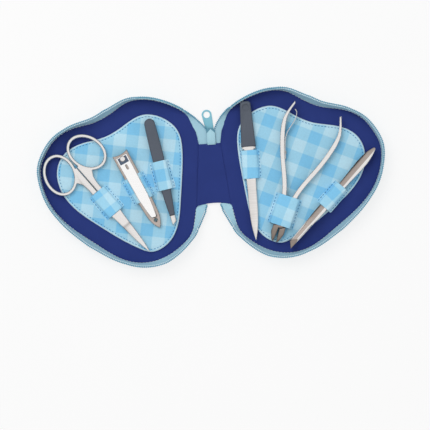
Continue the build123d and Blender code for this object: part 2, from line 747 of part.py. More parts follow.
def make_nippers_spring(mid):
    """The leaf spring along the inside of the left handle, its rivet and the rivet's hole."""
    line = Spline(*nippers_handle)
    offset = nippers_handle_w / 2 + 2 * layer_gap + nippers_spring_t / 2
    seat = []
    for t in nippers_spring_seat:
        spot = line @ t
        way = line % t
        seat.append((spot.X + way.Y * offset, spot.Y - way.X * offset))
    leaf = trace(Spline(*seat, *nippers_spring_free), nippers_spring_t)
    leaf = slab(leaf, mid - nippers_spring_h / 2, mid + nippers_spring_h / 2)
    spot = line @ nippers_spring_seat[1]
    way = line % nippers_spring_seat[1]
    turn = math.degrees(math.atan2(way.Y, way.X))
    stud_place = Pos(spot.X, spot.Y, mid) * Rot(0, 0, turn) * Rot(-90, 0, 0)
    under = -offset - nippers_spring_t / 2 - layer_gap
    deep = nippers_stud_depth - nippers_handle_w / 2
    stud = rod(0, 0, nippers_stud_r, under, deep)
    stud += rod(0, 0, nippers_stud_head_r, under - nippers_stud_head_t, under)
    hole = stud_place * rod(0, 0, nippers_stud_r + fit, under - 1, deep + fit)
    return solid_of(leaf - hole), stud_place * solid_of(stud), hole


def make_nippers():
    where = place(nippers_tip, nippers_turn)
    top = tool_z + nippers_head_t
    spring, stud, stud_hole = make_nippers_spring(tool_z + nippers_head_t / 2)
    low_half = solid_of(nipper_half(1, tool_z) - stud_hole)
    high_half = nipper_half(-1, tool_z + nippers_head_t / 2 + fit / 2)
    pin = rod(nippers_pivot, 0, nippers_pin_r, tool_z, top + fit)
    pin += rod(nippers_pivot, 0, nippers_pin_head_r, top + fit, top + fit + nippers_pin_head_t)
    height = nippers_head_t + nippers_pin_head_t + 2 * tool_gap
    return {
        "nippers_left_half": where * low_half,
        "nippers_right_half": where * high_half,
        "nippers_rivet": where * solid_of(pin),
        "nippers_spring": where * spring,
        "nippers_spring_rivet": where * stud,
        "nippers_loop": where * make_loop(nippers_loop, nippers_loop_w, height),
    }


# ---------------------------------------------------------------- tweezers
def tweezers_arm(way):
    """One springy arm, joined to its twin at the far end and bowed away from it in front."""
    near, far = tweezers_side, [tweezers_corner, *across(tweezers_side)[1:]]
    end = ThreePointArc(near[-1], (tweezers_length, 0), far[-1])
    outline = make_face([Spline(*near), end, Spline(*far), Line(far[0], near[0])])
    mid, seat, beyond = tool_z + tweezers_mid, tweezers_seat_gap / 2, tweezers_length + 1

    def level(points):
        return [(x, -tweezers_loop_w, mid + way * up) for x, up in points]

    inner, outer = level(tweezers_inner), level(tweezers_outer)
    back = level([(tweezers_inner[-1][0], seat), (beyond, seat), (beyond, tweezers_end_t)])
    front = Line(outer[0], inner[0])
    wall = make_face([Spline(*inner), Polyline(inner[-1], *back, outer[-1]), Spline(*outer), front])
    return solid_of(extrude(wall, 2 * tweezers_loop_w, dir=(0, 1, 0)) & slab(outline, 0, half_depth))


def make_tweezers():
    where = place(tweezers_tip, tweezers_turn)
    thickness = max(up for _, up in tweezers_outer)
    height = tweezers_mid + thickness + 2 * tool_gap
    return {
        "tweezers_lower_arm": where * tweezers_arm(-1),
        "tweezers_upper_arm": where * tweezers_arm(1),
        "tweezers_loop": where * make_loop(
            tweezers_loop, tweezers_loop_w, height, corner=loop_tight_round
        ),
    }


for piece, shape in make_half().items():
    save(f"right_{piece}", shape)
    save(f"left_{piece}", left(shape))
for group in (make_spine(), make_scissors(), make_clipper(), make_pusher(), make_file(), make_nippers(),
              make_tweezers()):
    for piece, shape in group.items():
        save(piece, shape)
save("zipper_tape_ends", *make_tape_ends())
save("zipper_coil_ends", *make_coil_ends())
save("zipper_slider", make_slider())
save("zipper_pull", make_pull())
save("zipper_end_patch", make_patch())
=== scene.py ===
import math

import bmesh
import bpy
from mathutils import Matrix, Vector, noise


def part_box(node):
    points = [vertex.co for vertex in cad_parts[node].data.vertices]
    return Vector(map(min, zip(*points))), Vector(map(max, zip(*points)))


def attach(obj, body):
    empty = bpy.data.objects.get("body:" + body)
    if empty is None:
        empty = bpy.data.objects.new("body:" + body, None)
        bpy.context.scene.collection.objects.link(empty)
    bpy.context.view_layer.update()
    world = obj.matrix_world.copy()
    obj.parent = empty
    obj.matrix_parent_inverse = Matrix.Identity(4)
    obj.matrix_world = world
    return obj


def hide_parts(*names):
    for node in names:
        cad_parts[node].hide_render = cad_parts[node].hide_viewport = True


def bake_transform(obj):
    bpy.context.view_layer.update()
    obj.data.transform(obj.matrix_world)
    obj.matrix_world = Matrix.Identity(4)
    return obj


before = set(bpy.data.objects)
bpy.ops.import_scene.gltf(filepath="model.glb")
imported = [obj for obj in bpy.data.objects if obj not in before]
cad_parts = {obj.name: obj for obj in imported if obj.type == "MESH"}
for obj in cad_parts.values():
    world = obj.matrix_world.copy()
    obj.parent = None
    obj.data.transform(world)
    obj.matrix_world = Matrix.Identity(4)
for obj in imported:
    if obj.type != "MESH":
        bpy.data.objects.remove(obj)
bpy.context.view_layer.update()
scene = bpy.context.scene
mm = 0.001

# Main heights and lines of the case, in millimetres
case = {
    "foldX": 10.0,
    "bendFromX": 8.9,
    "layersFromX": 11.1,
    "panelTop": 2.3,
    "padTop": 4.0,
    "toolLow": 4.3,
    "spineTop": 23.1,
    "spineFoot": -17.0,
    "spineArch": 1.3,
}
outward = {"left": -1, "right": 1}  # the sign of X on each side of the spine


def vec(x, y, z):
    return Vector((x, y, z)) * mm


def smooth(value):
    value = min(max(value, 0.0), 1.0)
    return value * value * (3 - 2 * value)


def drift(spot, size, seed=0.0):
    # a slow wander between -1 and 1, the same on every run
    return noise.noise(Vector((spot[0] / size, spot[1] / size, spot[2] / size + seed)))


def nodeCopy(node):
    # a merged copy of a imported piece, ready for operators
    bm = bmesh.new()
    bm.from_mesh(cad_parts[node].data)
    bmesh.ops.remove_doubles(bm, verts=bm.verts, dist=1e-6)
    return bm


def facet(node, up=True):
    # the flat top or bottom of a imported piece, as one face
    bm = nodeCopy(node)
    other = [f for f in bm.faces if (f.normal.z if up else -f.normal.z) < 0.9]
    bmesh.ops.delete(bm, geom=other, context="FACES")
    bmesh.ops.dissolve_faces(bm, faces=bm.faces[:], use_verts=False)
    return bm


def sharpEdges(bm, degrees):
    limit = math.radians(degrees)
    return [e for e in bm.edges if e.is_manifold and e.calc_face_angle() > limit]


def roundEdges(bm, edges, width, segments=2):
    bmesh.ops.bevel(
        bm, geom=edges, offset=width * mm, offset_type="OFFSET", segments=segments,
        profile=0.5, affect="EDGES", clamp_overlap=True, material=-1,
    )


def faceUp(bm, up=True):
    # turns the faces over where most of them look the other way
    total = sum(f.normal.z for f in bm.faces)
    if (total if up else -total) < 0:
        bmesh.ops.reverse_faces(bm, faces=bm.faces)


def areaOf(bm):
    return sum(f.calc_area() for f in bm.faces)


def keepMesh(bm, name):
    mesh = bpy.data.meshes.new(name)
    bm.to_mesh(mesh)
    bm.free()
    return mesh


def finishMesh(bm, name, material, sharp):
    # smooth shading that keeps edges over the given angle crisp
    limit = math.radians(sharp)
    for face in bm.faces:
        face.smooth = True
    for edge in bm.edges:
        edge.smooth = edge.is_manifold and edge.calc_face_angle() < limit
    mesh = keepMesh(bm, name)
    mesh.materials.append(material)
    piece = bpy.data.objects.new(name, mesh)
    scene.collection.objects.link(piece)
    return piece


def addModifier(piece, kind, **settings):
    modifier = piece.modifiers.new(kind.title(), kind)
    for key, value in settings.items():
        setattr(modifier, key, value)
    return modifier


def applyModifiers(piece):
    bpy.context.view_layer.update()
    view = piece.evaluated_get(bpy.context.evaluated_depsgraph_get())
    mesh = bpy.data.meshes.new_from_object(view)
    piece.modifiers.clear()
    piece.data = mesh


def thicken(piece, thickness, offset=-1.0, levels=0):
    addModifier(piece, "SOLIDIFY", thickness=thickness * mm, offset=offset, use_even_offset=True)
    if levels:
        addModifier(piece, "SUBSURF", levels=levels, render_levels=levels)
    applyModifiers(piece)


def withEdges(faces):
    # the faces with their edges and corners, which is what a cut takes, each once and in a fixed order
    edges = dict.fromkeys(e for f in faces for e in f.edges)
    verts = dict.fromkeys(v for f in faces for v in f.verts)
    return [*faces, *edges, *verts]


def cutAt(bm, spot, normal, geom=None):
    # a straight cut, through the whole mesh unless geom says what to cut
    if geom is None:
        geom = bm.verts[:] + bm.edges[:] + bm.faces[:]
    return bmesh.ops.bisect_plane(bm, geom=geom, dist=1e-7, plane_co=spot, plane_no=normal)["geom"]


def gridCut(bm, faces, step, low, high):
    # straight cuts across flat faces, so that the cloth can be shaped
    for axis, normal in enumerate((Vector((1, 0, 0)), Vector((0, 1, 0)))):
        at = low[axis]
        while at < high[axis] - step[axis] / 2:
            made = cutAt(bm, normal * at * mm, normal, withEdges(faces))
            faces = [g for g in made if isinstance(g, bmesh.types.BMFace)]
            at += step[axis]
    return faces


def gridOver(bm, faces, node, step):
    low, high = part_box(node)
    return gridCut(bm, faces, (step, step), (low.x / mm, low.y / mm), (high.x / mm, high.y / mm))


def railSheet(rails):
    # cloth that runs through several rails of points
    bm = bmesh.new()
    chains = []
    for rail in rails:
        verts = [bm.verts.new(spot) for spot in rail]
        chains.append([bm.edges.new(pair) for pair in zip(verts, verts[1:])])
    for near, far in zip(chains, chains[1:]):
        bmesh.ops.bridge_loops(bm, edges=near + far)
    bmesh.ops.recalc_face_normals(bm, faces=bm.faces)
    return bm


def tubeMesh(points, radius, roundness=3):
    curve = bpy.data.curves.new("tubeLine", "CURVE")
    curve.dimensions = "3D"
    curve.bevel_depth = radius * mm
    curve.bevel_resolution = roundness
    curve.use_fill_caps = True
    spline = curve.splines.new("POLY")
    spline.points.add(len(points) - 1)
    for point, spot in zip(spline.points, points):
        point.co = (*spot, 1.0)
    line = bpy.data.objects.new("tubeLine", curve)
    mesh = bpy.data.meshes.new_from_object(line)
    bpy.data.objects.remove(line)
    bm = bmesh.new()
    bm.from_mesh(mesh)
    bmesh.ops.remove_doubles(bm, verts=bm.verts, dist=1e-7)
    return bm


def scatter(template, places):
    # one mesh made of many placed copies of a small one
    bm = bmesh.new()
    for place in places:
        first = len(bm.verts)
        bm.from_mesh(template)
        bm.verts.ensure_lookup_table()
        bmesh.ops.transform(bm, matrix=place, verts=bm.verts[first:])
    return bm


def frameAt(spot, along, up=Vector((0, 0, 1))):
    # local X runs along, local Z points up
    along = along.normalized()
    across = up.cross(along).normalized()
    top = along.cross(across)
    place = Matrix((along, across, top)).transposed().to_4x4()
    place.translation = spot
    return place


def lineLength(points):
    return sum((b - a).length for a, b in zip(points, points[1:]))


def evenPoints(points, count):
    # the same line, with points an even distance apart
    lengths = [0.0]
    for a, b in zip(points, points[1:]):
        lengths.append(lengths[-1] + (b - a).length)
    result, i = [], 0
    for k in range(count + 1):
        want = lengths[-1] * k / count
        while i < len(points) - 2 and lengths[i + 1] < want:
            i += 1
        part = (want - lengths[i]) / (lengths[i + 1] - lengths[i])
        result.append(points[i].lerp(points[i + 1], min(max(part, 0.0), 1.0)))
    return result


def alongLine(line, at):
    # a value read off a list of (place, value) pairs
    if at <= line[0][0]:
        return line[0][1]
    for (a, low), (b, high) in zip(line, line[1:]):
        if at <= b:
            return low + (high - low) * (at - a) / (b - a)
    return line[-1][1]


def bendAtFold(piece):
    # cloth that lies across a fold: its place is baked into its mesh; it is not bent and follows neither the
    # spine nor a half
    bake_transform(piece)


def colour(red, green, blue):
    # screen values, 0 to 255, as the linear values that a shader takes
    linear = []
    for value in (red, green, blue):
        value /= 255
        linear.append(value / 12.92 if value <= 0.04045 else ((value + 0.055) / 1.055) ** 2.4)
    return (*linear, 1.0)


class Nodes:
    # a node tree, with short ways to add nodes and fill their sockets
    def __init__(self, tree):
        self.tree = tree

    def plug(self, socket, value):
        if isinstance(value, bpy.types.NodeSocket):
            self.tree.links.new(value, socket)
        elif value is not None:
            socket.default_value = value

    def add(self, kind, *inputs, **settings):
        node = self.tree.nodes.new("ShaderNode" + kind)
        for key, value in settings.items():
            setattr(node, key, value)
        for index, value in enumerate(inputs):
            self.plug(node.inputs[index], value)
        return node


class Finish(Nodes):
    # one Principled material
    def __init__(self, name, **sockets):
        self.material = bpy.data.materials.new(name)
        self.material.use_nodes = True
        super().__init__(self.material.node_tree)
        self.shader = self.tree.nodes["Principled BSDF"]
        for socket, value in sockets.items():
            self.set(socket.replace("_", " "), value)

    def set(self, socket, value):
        self.plug(self.shader.inputs[socket], value)

    def math(self, operation, a, b=None):
        return self.add("Math", a, b, operation=operation).outputs[0]

    def space(self, turn=0.0, shift=(0, 0, 0), stretch=(1, 1, 1)):
        source = self.add("TexCoord").outputs["Object"]
        return self.add("Mapping", source, shift, (0, 0, math.radians(turn)), stretch).outputs[0]

    def noise(self, space, scale, detail=2.0, rough=0.5):
        node = self.add("TexNoise", space)
        for socket, value in (("Scale", scale), ("Detail", detail), ("Roughness", rough)):
            self.plug(node.inputs[socket], value)
        return node.outputs["Fac"]

    def ramp(self, factor, *stops):
        node = self.add("ValToRGB", factor)
        band = node.color_ramp
        while len(band.elements) < len(stops):
            band.elements.new(0.5)
        for element, (at, tone) in zip(band.elements, stops):
            element.position = at
            element.color = tone if len(tone) == 4 else (*tone, 1.0)
        return node.outputs[0]

    def remap(self, value, low, high, outLow, outHigh, kind="LINEAR"):
        node = self.add("MapRange", value, low, high, outLow, outHigh, interpolation_type=kind)
        return node.outputs[0]

    def tint(self, base, factor):
        # base colour made lighter or darker by a factor near 1
        node = self.add("Mix", 1.0, data_type="RGBA", blend_type="MULTIPLY")
        self.plug(node.inputs[6], base)
        self.plug(node.inputs[7], factor)
        return node.outputs[2]

    def bump(self, height, strength, distance):
        node = self.add("Bump")
        for socket, value in (("Strength", strength), ("Distance", distance * mm), ("Height", height)):
            self.plug(node.inputs[socket], value)
        self.set("Normal", node.outputs[0])
        return node

    def threads(self, space, pitch):
        # plain weave: threads that pass over and under at the given pitch in millimetres
        spread = self.add("SeparateXYZ", space)
        turns = math.pi / (pitch * mm)
        a = self.math("SINE", self.math("MULTIPLY", spread.outputs[0], turns))
        b = self.math("SINE", self.math("MULTIPLY", spread.outputs[1], turns))
        return self.remap(self.math("MULTIPLY", a, b), -1.0, 1.0, 0.0, 1.0)


gingham = {
    "period": 16.75,
    "light": (187, 226, 243),
    "mid": (160, 213, 238),
    "dark": (130, 199, 237),
    "thread": 0.42,
    "softEdge": 0.35,
}


def ginghamFinish(title, turn, shift=(0.0, 0.0), lift=1.0):
    cloth = Finish(title, Roughness=0.72, Specular_IOR_Level=0.2, Sheen_Weight=0.05, Sheen_Roughness=0.5)
    space = cloth.space(turn=turn, shift=(shift[0] * mm, shift[1] * mm, 0))
    spread = cloth.add("SeparateXYZ", space)
    period, soft = gingham["period"] * mm, gingham["softEdge"] * mm
    bands = []
    for axis in (0, 1):
        wave = cloth.math("PINGPONG", spread.outputs[axis], period / 2)
        bands.append(cloth.remap(wave, period / 4 - soft, period / 4 + soft, 0.0, 0.5, "SMOOTHSTEP"))
    tone = cloth.math("ADD", bands[0], bands[1])
    stops = [(at, colour(*gingham[name])) for at, name in ((0.0, "light"), (0.5, "mid"), (1.0, "dark"))]
    base = cloth.ramp(tone, *stops)
    threads = cloth.threads(space, gingham["thread"])
    slub = cloth.noise(space, 900.0, 3.0)
    cloudy = cloth.noise(space, 45.0, 2.0)
    shade = cloth.remap(threads, 0.0, 1.0, 0.95, 1.03)
    shade = cloth.math("ADD", shade, cloth.remap(slub, 0.3, 0.7, -0.03, 0.03))
    shade = cloth.math("ADD", shade, cloth.remap(cloudy, 0.3, 0.7, -0.04, 0.04))
    # lift scales the whole colour; above 1 it is painted light, a lit copy of the cloth
    cloth.set("Base Color", cloth.tint(base, cloth.math("MULTIPLY", shade, lift)))
    cloth.bump(cloth.math("ADD", threads, cloth.math("MULTIPLY", slub, 0.4)), 0.35, 0.08)
    return cloth.material


def clothFinish(name, tone, thread, roughness, sheen, vary, depth, turn=0.0):
    # thread is the pitch of the weave, vary the unevenness of the dye, depth the relief
    cloth = Finish(name, Roughness=roughness, Specular_IOR_Level=0.15, Sheen_Weight=sheen,
                   Sheen_Roughness=0.4)
    space = cloth.space(turn=turn)
    threads = cloth.threads(space, thread)
    cloudy = cloth.noise(space, 60.0, 3.0)
    fuzz = cloth.noise(space, 2500.0, 2.0)
    shade = cloth.remap(threads, 0.0, 1.0, 1 - vary, 1 + vary)
    shade = cloth.math("ADD", shade, cloth.remap(cloudy, 0.3, 0.7, -vary, vary))
    shade = cloth.math("ADD", shade, cloth.remap(fuzz, 0.3, 0.7, -vary / 2, vary / 2))
    cloth.set("Base Color", cloth.tint(colour(*tone), shade))
    cloth.bump(cloth.math("ADD", threads, cloth.math("MULTIPLY", fuzz, 0.5)), 0.4, depth)
    return cloth.material


steelEdge = {"rounding": 0.7, "samples": 6}


def steelFinish(name, tone, rough, grain, turn=0.0):
    # metal with a fine grain
    steel = Finish(name, Metallic=1.0)
    space = steel.space(turn=turn, stretch=(60, 1200, 600))
    lines = steel.noise(space, 1.0, 3.0, 0.6)
    cloudy = steel.noise(steel.space(), 120.0, 2.0)
    steel.set("Roughness", steel.remap(cloudy, 0.3, 0.7, rough - 0.04, rough + 0.05))
    steel.set("Base Color", steel.tint(colour(*tone), steel.remap(lines, 0.3, 0.7, 1 - grain, 1.0)))
    # rounded edges, wider than the mesh's own, so that they mirror the dim horizon
    edge = steel.add("Bevel", steelEdge["rounding"] * mm, samples=steelEdge["samples"])
    bump = steel.bump(lines, 0.12 + grain, 0.01)
    steel.plug(bump.inputs["Normal"], edge.outputs[0])
    return steel.material


def plasticFinish(name, tone, rough, grain, depth=0.03, vary=0.04):
    plastic = Finish(name)
    space = plastic.space()
    fine = plastic.noise(space, grain, 3.0)
    cloudy = plastic.noise(space, 90.0, 2.0)
    plastic.set("Roughness", plastic.remap(fine, 0.3, 0.7, rough - 0.06, rough + 0.06))
    shade = plastic.remap(cloudy, 0.3, 0.7, 1 - vary, 1 + vary)
    plastic.set("Base Color", plastic.tint(colour(*tone), shade))
    plastic.bump(fine, 0.3, depth)
    return plastic.material


# Ginghams take a turn and a shift. The rest begin with a screen colour. Then cloths take thread,
# roughness, sheen, vary, depth and turn; plastics rough, grain, depth and vary; steels rough, grain and turn
finishes = {
    "leftPad": ginghamFinish("leftPadGingham", 10.5, (14.7, 15.1)),
    "rightPad": ginghamFinish("rightPadGingham", 24.5, (2.5, 9.2)),
    "leftCover": ginghamFinish("leftCoverGingham", 20.0),
    "rightCover": ginghamFinish("rightCoverGingham", -20.0),
    "lining": clothFinish("navyLining", (44, 59, 124), 0.5, 0.85, 0.06, 0.04, 0.06),
    "tape": clothFinish("zipperTapeWeave", (165, 206, 222), 0.6, 0.7, 0.1, 0.05, 0.1, 45.0),
    "piping": clothFinish("pipingCord", (126, 190, 215), 0.5, 0.6, 0.1, 0.05, 0.1, 45.0),
    "coil": plasticFinish("coilNylon", (92, 160, 188), 0.45, 900.0),
    "vinyl": plasticFinish("spineVinyl", (112, 186, 222), 0.42, 1400.0, 0.06),
    # the thread's dark tone is partly its own and partly painted shade of the needle holes
    "thread": clothFinish("sewingThreadHoleShade", (66, 122, 172), 0.25, 0.6, 0.0, 0.06, 0.04),
    "board": clothFinish("greyBoard", (150, 142, 130), 1.1, 0.9, 0.0, 0.08, 0.05),
    "foam": plasticFinish("paddingFoam", (226, 222, 210), 0.9, 2600.0, 0.2, 0.06),
    "patch": clothFinish("endPatchCloth", (172, 214, 228), 0.4, 0.6, 0.1, 0.04, 0.06),
    "slider": plasticFinish("sliderPaint", (84, 140, 162), 0.32, 500.0),
    "pull": plasticFinish("pullPaint", (126, 190, 208), 0.34, 500.0),
    "polished": steelFinish("polishedSteel", (228, 225, 223), 0.12, 0.05),
    "brushed": steelFinish("brushedSteel", (238, 234, 231), 0.34, 0.14, 90.0),
    # bright steel is a lighter copy of the polished steel: painted light on the clipper's lever
    "bright": steelFinish("paintedLightSteel", (244, 243, 242), 0.12, 0.03),
    # jaw steel is rougher, and its darker tone is painted shade, for jaws and tips that mirror the dim room
    "jaw": steelFinish("jawSteelPaintedShade", (150, 138, 130), 0.3, 0.1),
    # dark steel is painted shade, for the recess round the clipper's pin
    "dark": steelFinish("windowShadeSteel", (92, 104, 122), 0.3, 0.1),
    "shade": steelFinish("shadeSteel", (188, 176, 169), 0.3, 0.08, 45.0),
    # the pad's pale outer rim is a painted highlight along its rounded edge
    "padEdge": clothFinish("padEdgeHighlight", (203, 229, 240), 0.3, 0.7, 0.0, 0.04, 0.05),
    "grip": plasticFinish("gripPlastic", (80, 87, 99), 0.5, 900.0, 0.03),
}

# What the camera sees: metres for the distance, millimetres for the rest, degrees for the turn
view = {"distance": 2.0, "centre": (0.262, -25.5), "turn": -4.03, "frameWidth": 292.4, "sensor": 36.0}


def makeCamera():
    camera = bpy.data.objects.new("camera", bpy.data.cameras.new("camera"))
    camera.data.sensor_width = view["sensor"]
    camera.data.lens = view["sensor"] * view["distance"] / (view["frameWidth"] * mm)
    camera.data.clip_end = 20.0
    camera.location = (view["centre"][0] * mm, view["centre"][1] * mm, view["distance"])
    camera.rotation_euler = (0, 0, math.radians(view["turn"]))
    scene.collection.objects.link(camera)
    scene.camera = camera


# Reflected gives the heights between which the mirrored room brightens, and its two strengths
light = {
    "sky": 0.6,
    "reflected": (0.45, 0.985, 0.1, 1.05),
    "key": {"power": 11.0, "size": 1.1, "place": (-0.55, 0.75, 1.35)},
    "fill": {"power": 2.0, "size": 1.4, "place": (0.9, -0.5, 1.3)},
}


def makeLight():
    scene.view_settings.view_transform = "Standard"
    world = bpy.data.worlds.new("studio")
    scene.world = world
    world.use_nodes = True
    sky = Nodes(world.node_tree)
    rays = sky.add("LightPath")
    # what shines sees a bright ceiling over a dim horizon, so that rounded steel gets dark edges
    height = sky.add("SeparateXYZ", sky.add("TexCoord").outputs["Generated"]).outputs[2]
    ceiling = sky.add("MapRange", height, *light["reflected"], interpolation_type="SMOOTHSTEP").outputs[0]
    shine = sky.add("Mix", rays.outputs["Is Glossy Ray"], None, light["sky"], ceiling).outputs[0]
    strength = sky.add("Mix", rays.outputs["Is Camera Ray"], None, shine, 1.0).outputs[0]
    background = world.node_tree.nodes["Background"]
    sky.plug(background.inputs["Strength"], strength)
    sky.plug(background.inputs["Color"], (1.0, 1.0, 1.0, 1.0))
    for name in ("key", "fill"):
        lamp = bpy.data.lights.new(name, "AREA")
        lamp.energy = light[name]["power"]
        lamp.size = light[name]["size"]
        stand = bpy.data.objects.new(name, lamp)
        stand.location = light[name]["place"]
        stand.rotation_euler = (-stand.location).to_track_quat("-Z", "Y").to_euler()
        stand.visible_glossy = False  # the steel mirrors the room alone
        scene.collection.objects.link(stand)


paperFloor = {"halfSize": 4.0, "below": 0.2, "dim": (0.9, 0.9, 0.9), "pale": (0.93, 0.93, 0.93), "glow": 0.75}


def makeFloor():
    bm = bmesh.new()
    place = Matrix.Translation(vec(0, 0, -paperFloor["below"]))
    bmesh.ops.create_grid(bm, x_segments=1, y_segments=1, size=paperFloor["halfSize"], matrix=place)
    paper = Finish("paleFloor", Roughness=0.9)
    cloudy = paper.noise(paper.space(), 3.0)
    paper.set("Base Color", paper.ramp(cloudy, (0.0, paperFloor["dim"]), (1.0, paperFloor["pale"])))
    # rays that look at the floor see it glow, so that it stays an even white
    rays = paper.add("LightPath")
    seen = paper.math("MAXIMUM", rays.outputs["Is Camera Ray"], rays.outputs["Is Glossy Ray"])
    seen = paper.math("MAXIMUM", seen, rays.outputs["Is Transmission Ray"])
    white = paper.add("Emission", (1.0, 1.0, 1.0, 1.0), 1.0)
    share = paper.math("MULTIPLY", seen, paperFloor["glow"])
    mix = paper.add("MixShader", share, paper.shader.outputs[0], white.outputs[0])
    paper.plug(paper.tree.nodes["Material Output"].inputs["Surface"], mix.outputs[0])
    floor = finishMesh(bm, "floor", paper.material, 35)


makeCamera()
makeLight()
makeFloor()
print("camera, light and floor")

# The rim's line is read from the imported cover, between the points nearest to start and end.
# Each lean is how far the wall leans outward, at a fraction of the way round
rimShape = {
    "start": (10.3, 34.0),
    "end": (12.6, -21.5),
    "stations": 288,
    "lean": [
        (0.0, 6.4), (0.025, 2.9), (0.05, 2.0), (0.16, 2.0), (0.245, 4.7), (0.35, 2.2), (0.42, 2.6),
        (0.5, 2.1), (0.58, 2.5), (0.675, 4.3), (0.77, 2.8), (0.86, 4.6), (0.93, 3.3), (0.96, 4.2),
        (1.0, 7.6),
    ],
    "coilWidth": 1.5,
    "coilHeight": 1.3,
    "tapeRise": 7.65,
    "riseLength": 30.0,
}


def readRim():
    bm = facet("right_cover", up=False)
    loop = [v.co.copy() for v in max(bm.faces, key=lambda f: f.calc_area()).verts]
    bm.free()
    start, end = (min(range(len(loop)), key=lambda i: (loop[i].xy - Vector(rimShape[k]) * mm).length)
                  for k in ("start", "end"))
    loop = loop[start:] + loop[:start]
    end = (end - start) % len(loop)
    line = loop[:end + 1] if end > len(loop) / 2 else [loop[0]] + loop[:end - 1:-1]
    line = [Vector((p.x, p.y, 0)) for p in line]
    points = evenPoints(line, rimShape["stations"])
    ways = []
    for i in range(len(points)):
        way = points[min(i + 1, len(points) - 1)] - points[max(i - 1, 0)]
        ways.append(way.normalized())
    return points, ways, lineLength(line) / mm


rimPoints, rimWays, rimLength = readRim()


def leanAt(t):
    return alongLine(rimShape["lean"], t)


def riseAt(t):
    reach = leanAt(t) - rimShape["coilWidth"]
    full = math.sqrt(max(rimShape["tapeRise"] ** 2 - reach ** 2, 0.0))
    climb = smooth(min(t, 1 - t) * rimLength / rimShape["riseLength"])
    return max(rimShape["coilHeight"] / 2, full * climb)


def rimSpot(side, i, out, up):
    # a point beside station i of the rim, so far outward and so high, in millimetres
    foot, way = rimPoints[i], rimWays[i]
    x, y = foot.x - way.y * out * mm, foot.y + way.x * out * mm
    return Vector((outward[side] * x, y, up * mm))


def rimRail(side, section):
    # a rail of points round the rim; section gives (outward, up) at a fraction
    count = rimShape["stations"]
    return [rimSpot(side, i, *section(i / count)) for i in range(count + 1)]


# The columns run from the fold to the middle of the spine: X, height, and the height that the lining
# reaches beyond the spine's top, where it goes on beyond it. It takes the length of "climb" to get there
liningShape = {
    "edgeInset": 0.9,
    "edgeDrop": 0.3,
    "wrap": 1.0,
    "grid": {"rows": 14, "step": 2.9, "firstX": 0.8},
    "innerEdge": [(22.5, 7.4), (29.2, 8.4), (33.0, 9.4), (35.0, 10.3)],
    "columns": [(9.3, 1.85, 2.4), (7.4, 1.6, 2.75), (5.0, 1.6, None), (2.5, 1.6, None), (-0.3, 1.6, None)],
    "climb": 3.4,
    "corner": {"from": 31.5, "run": 3.5, "height": 2.15},
    "archHalf": 11.0,
    "thickness": 0.35,
    "waves": 0.1,
    "seam": {"top": 7.5, "slope": 0.0995, "half": 0.3, "depth": 0.35, "reach": 14},
}


def newVerts(made):
    return [g for g in made["geom"] if isinstance(g, bmesh.types.BMVert)]


def newEdges(made):
    return [g for g in made["geom"] if isinstance(g, bmesh.types.BMEdge)]


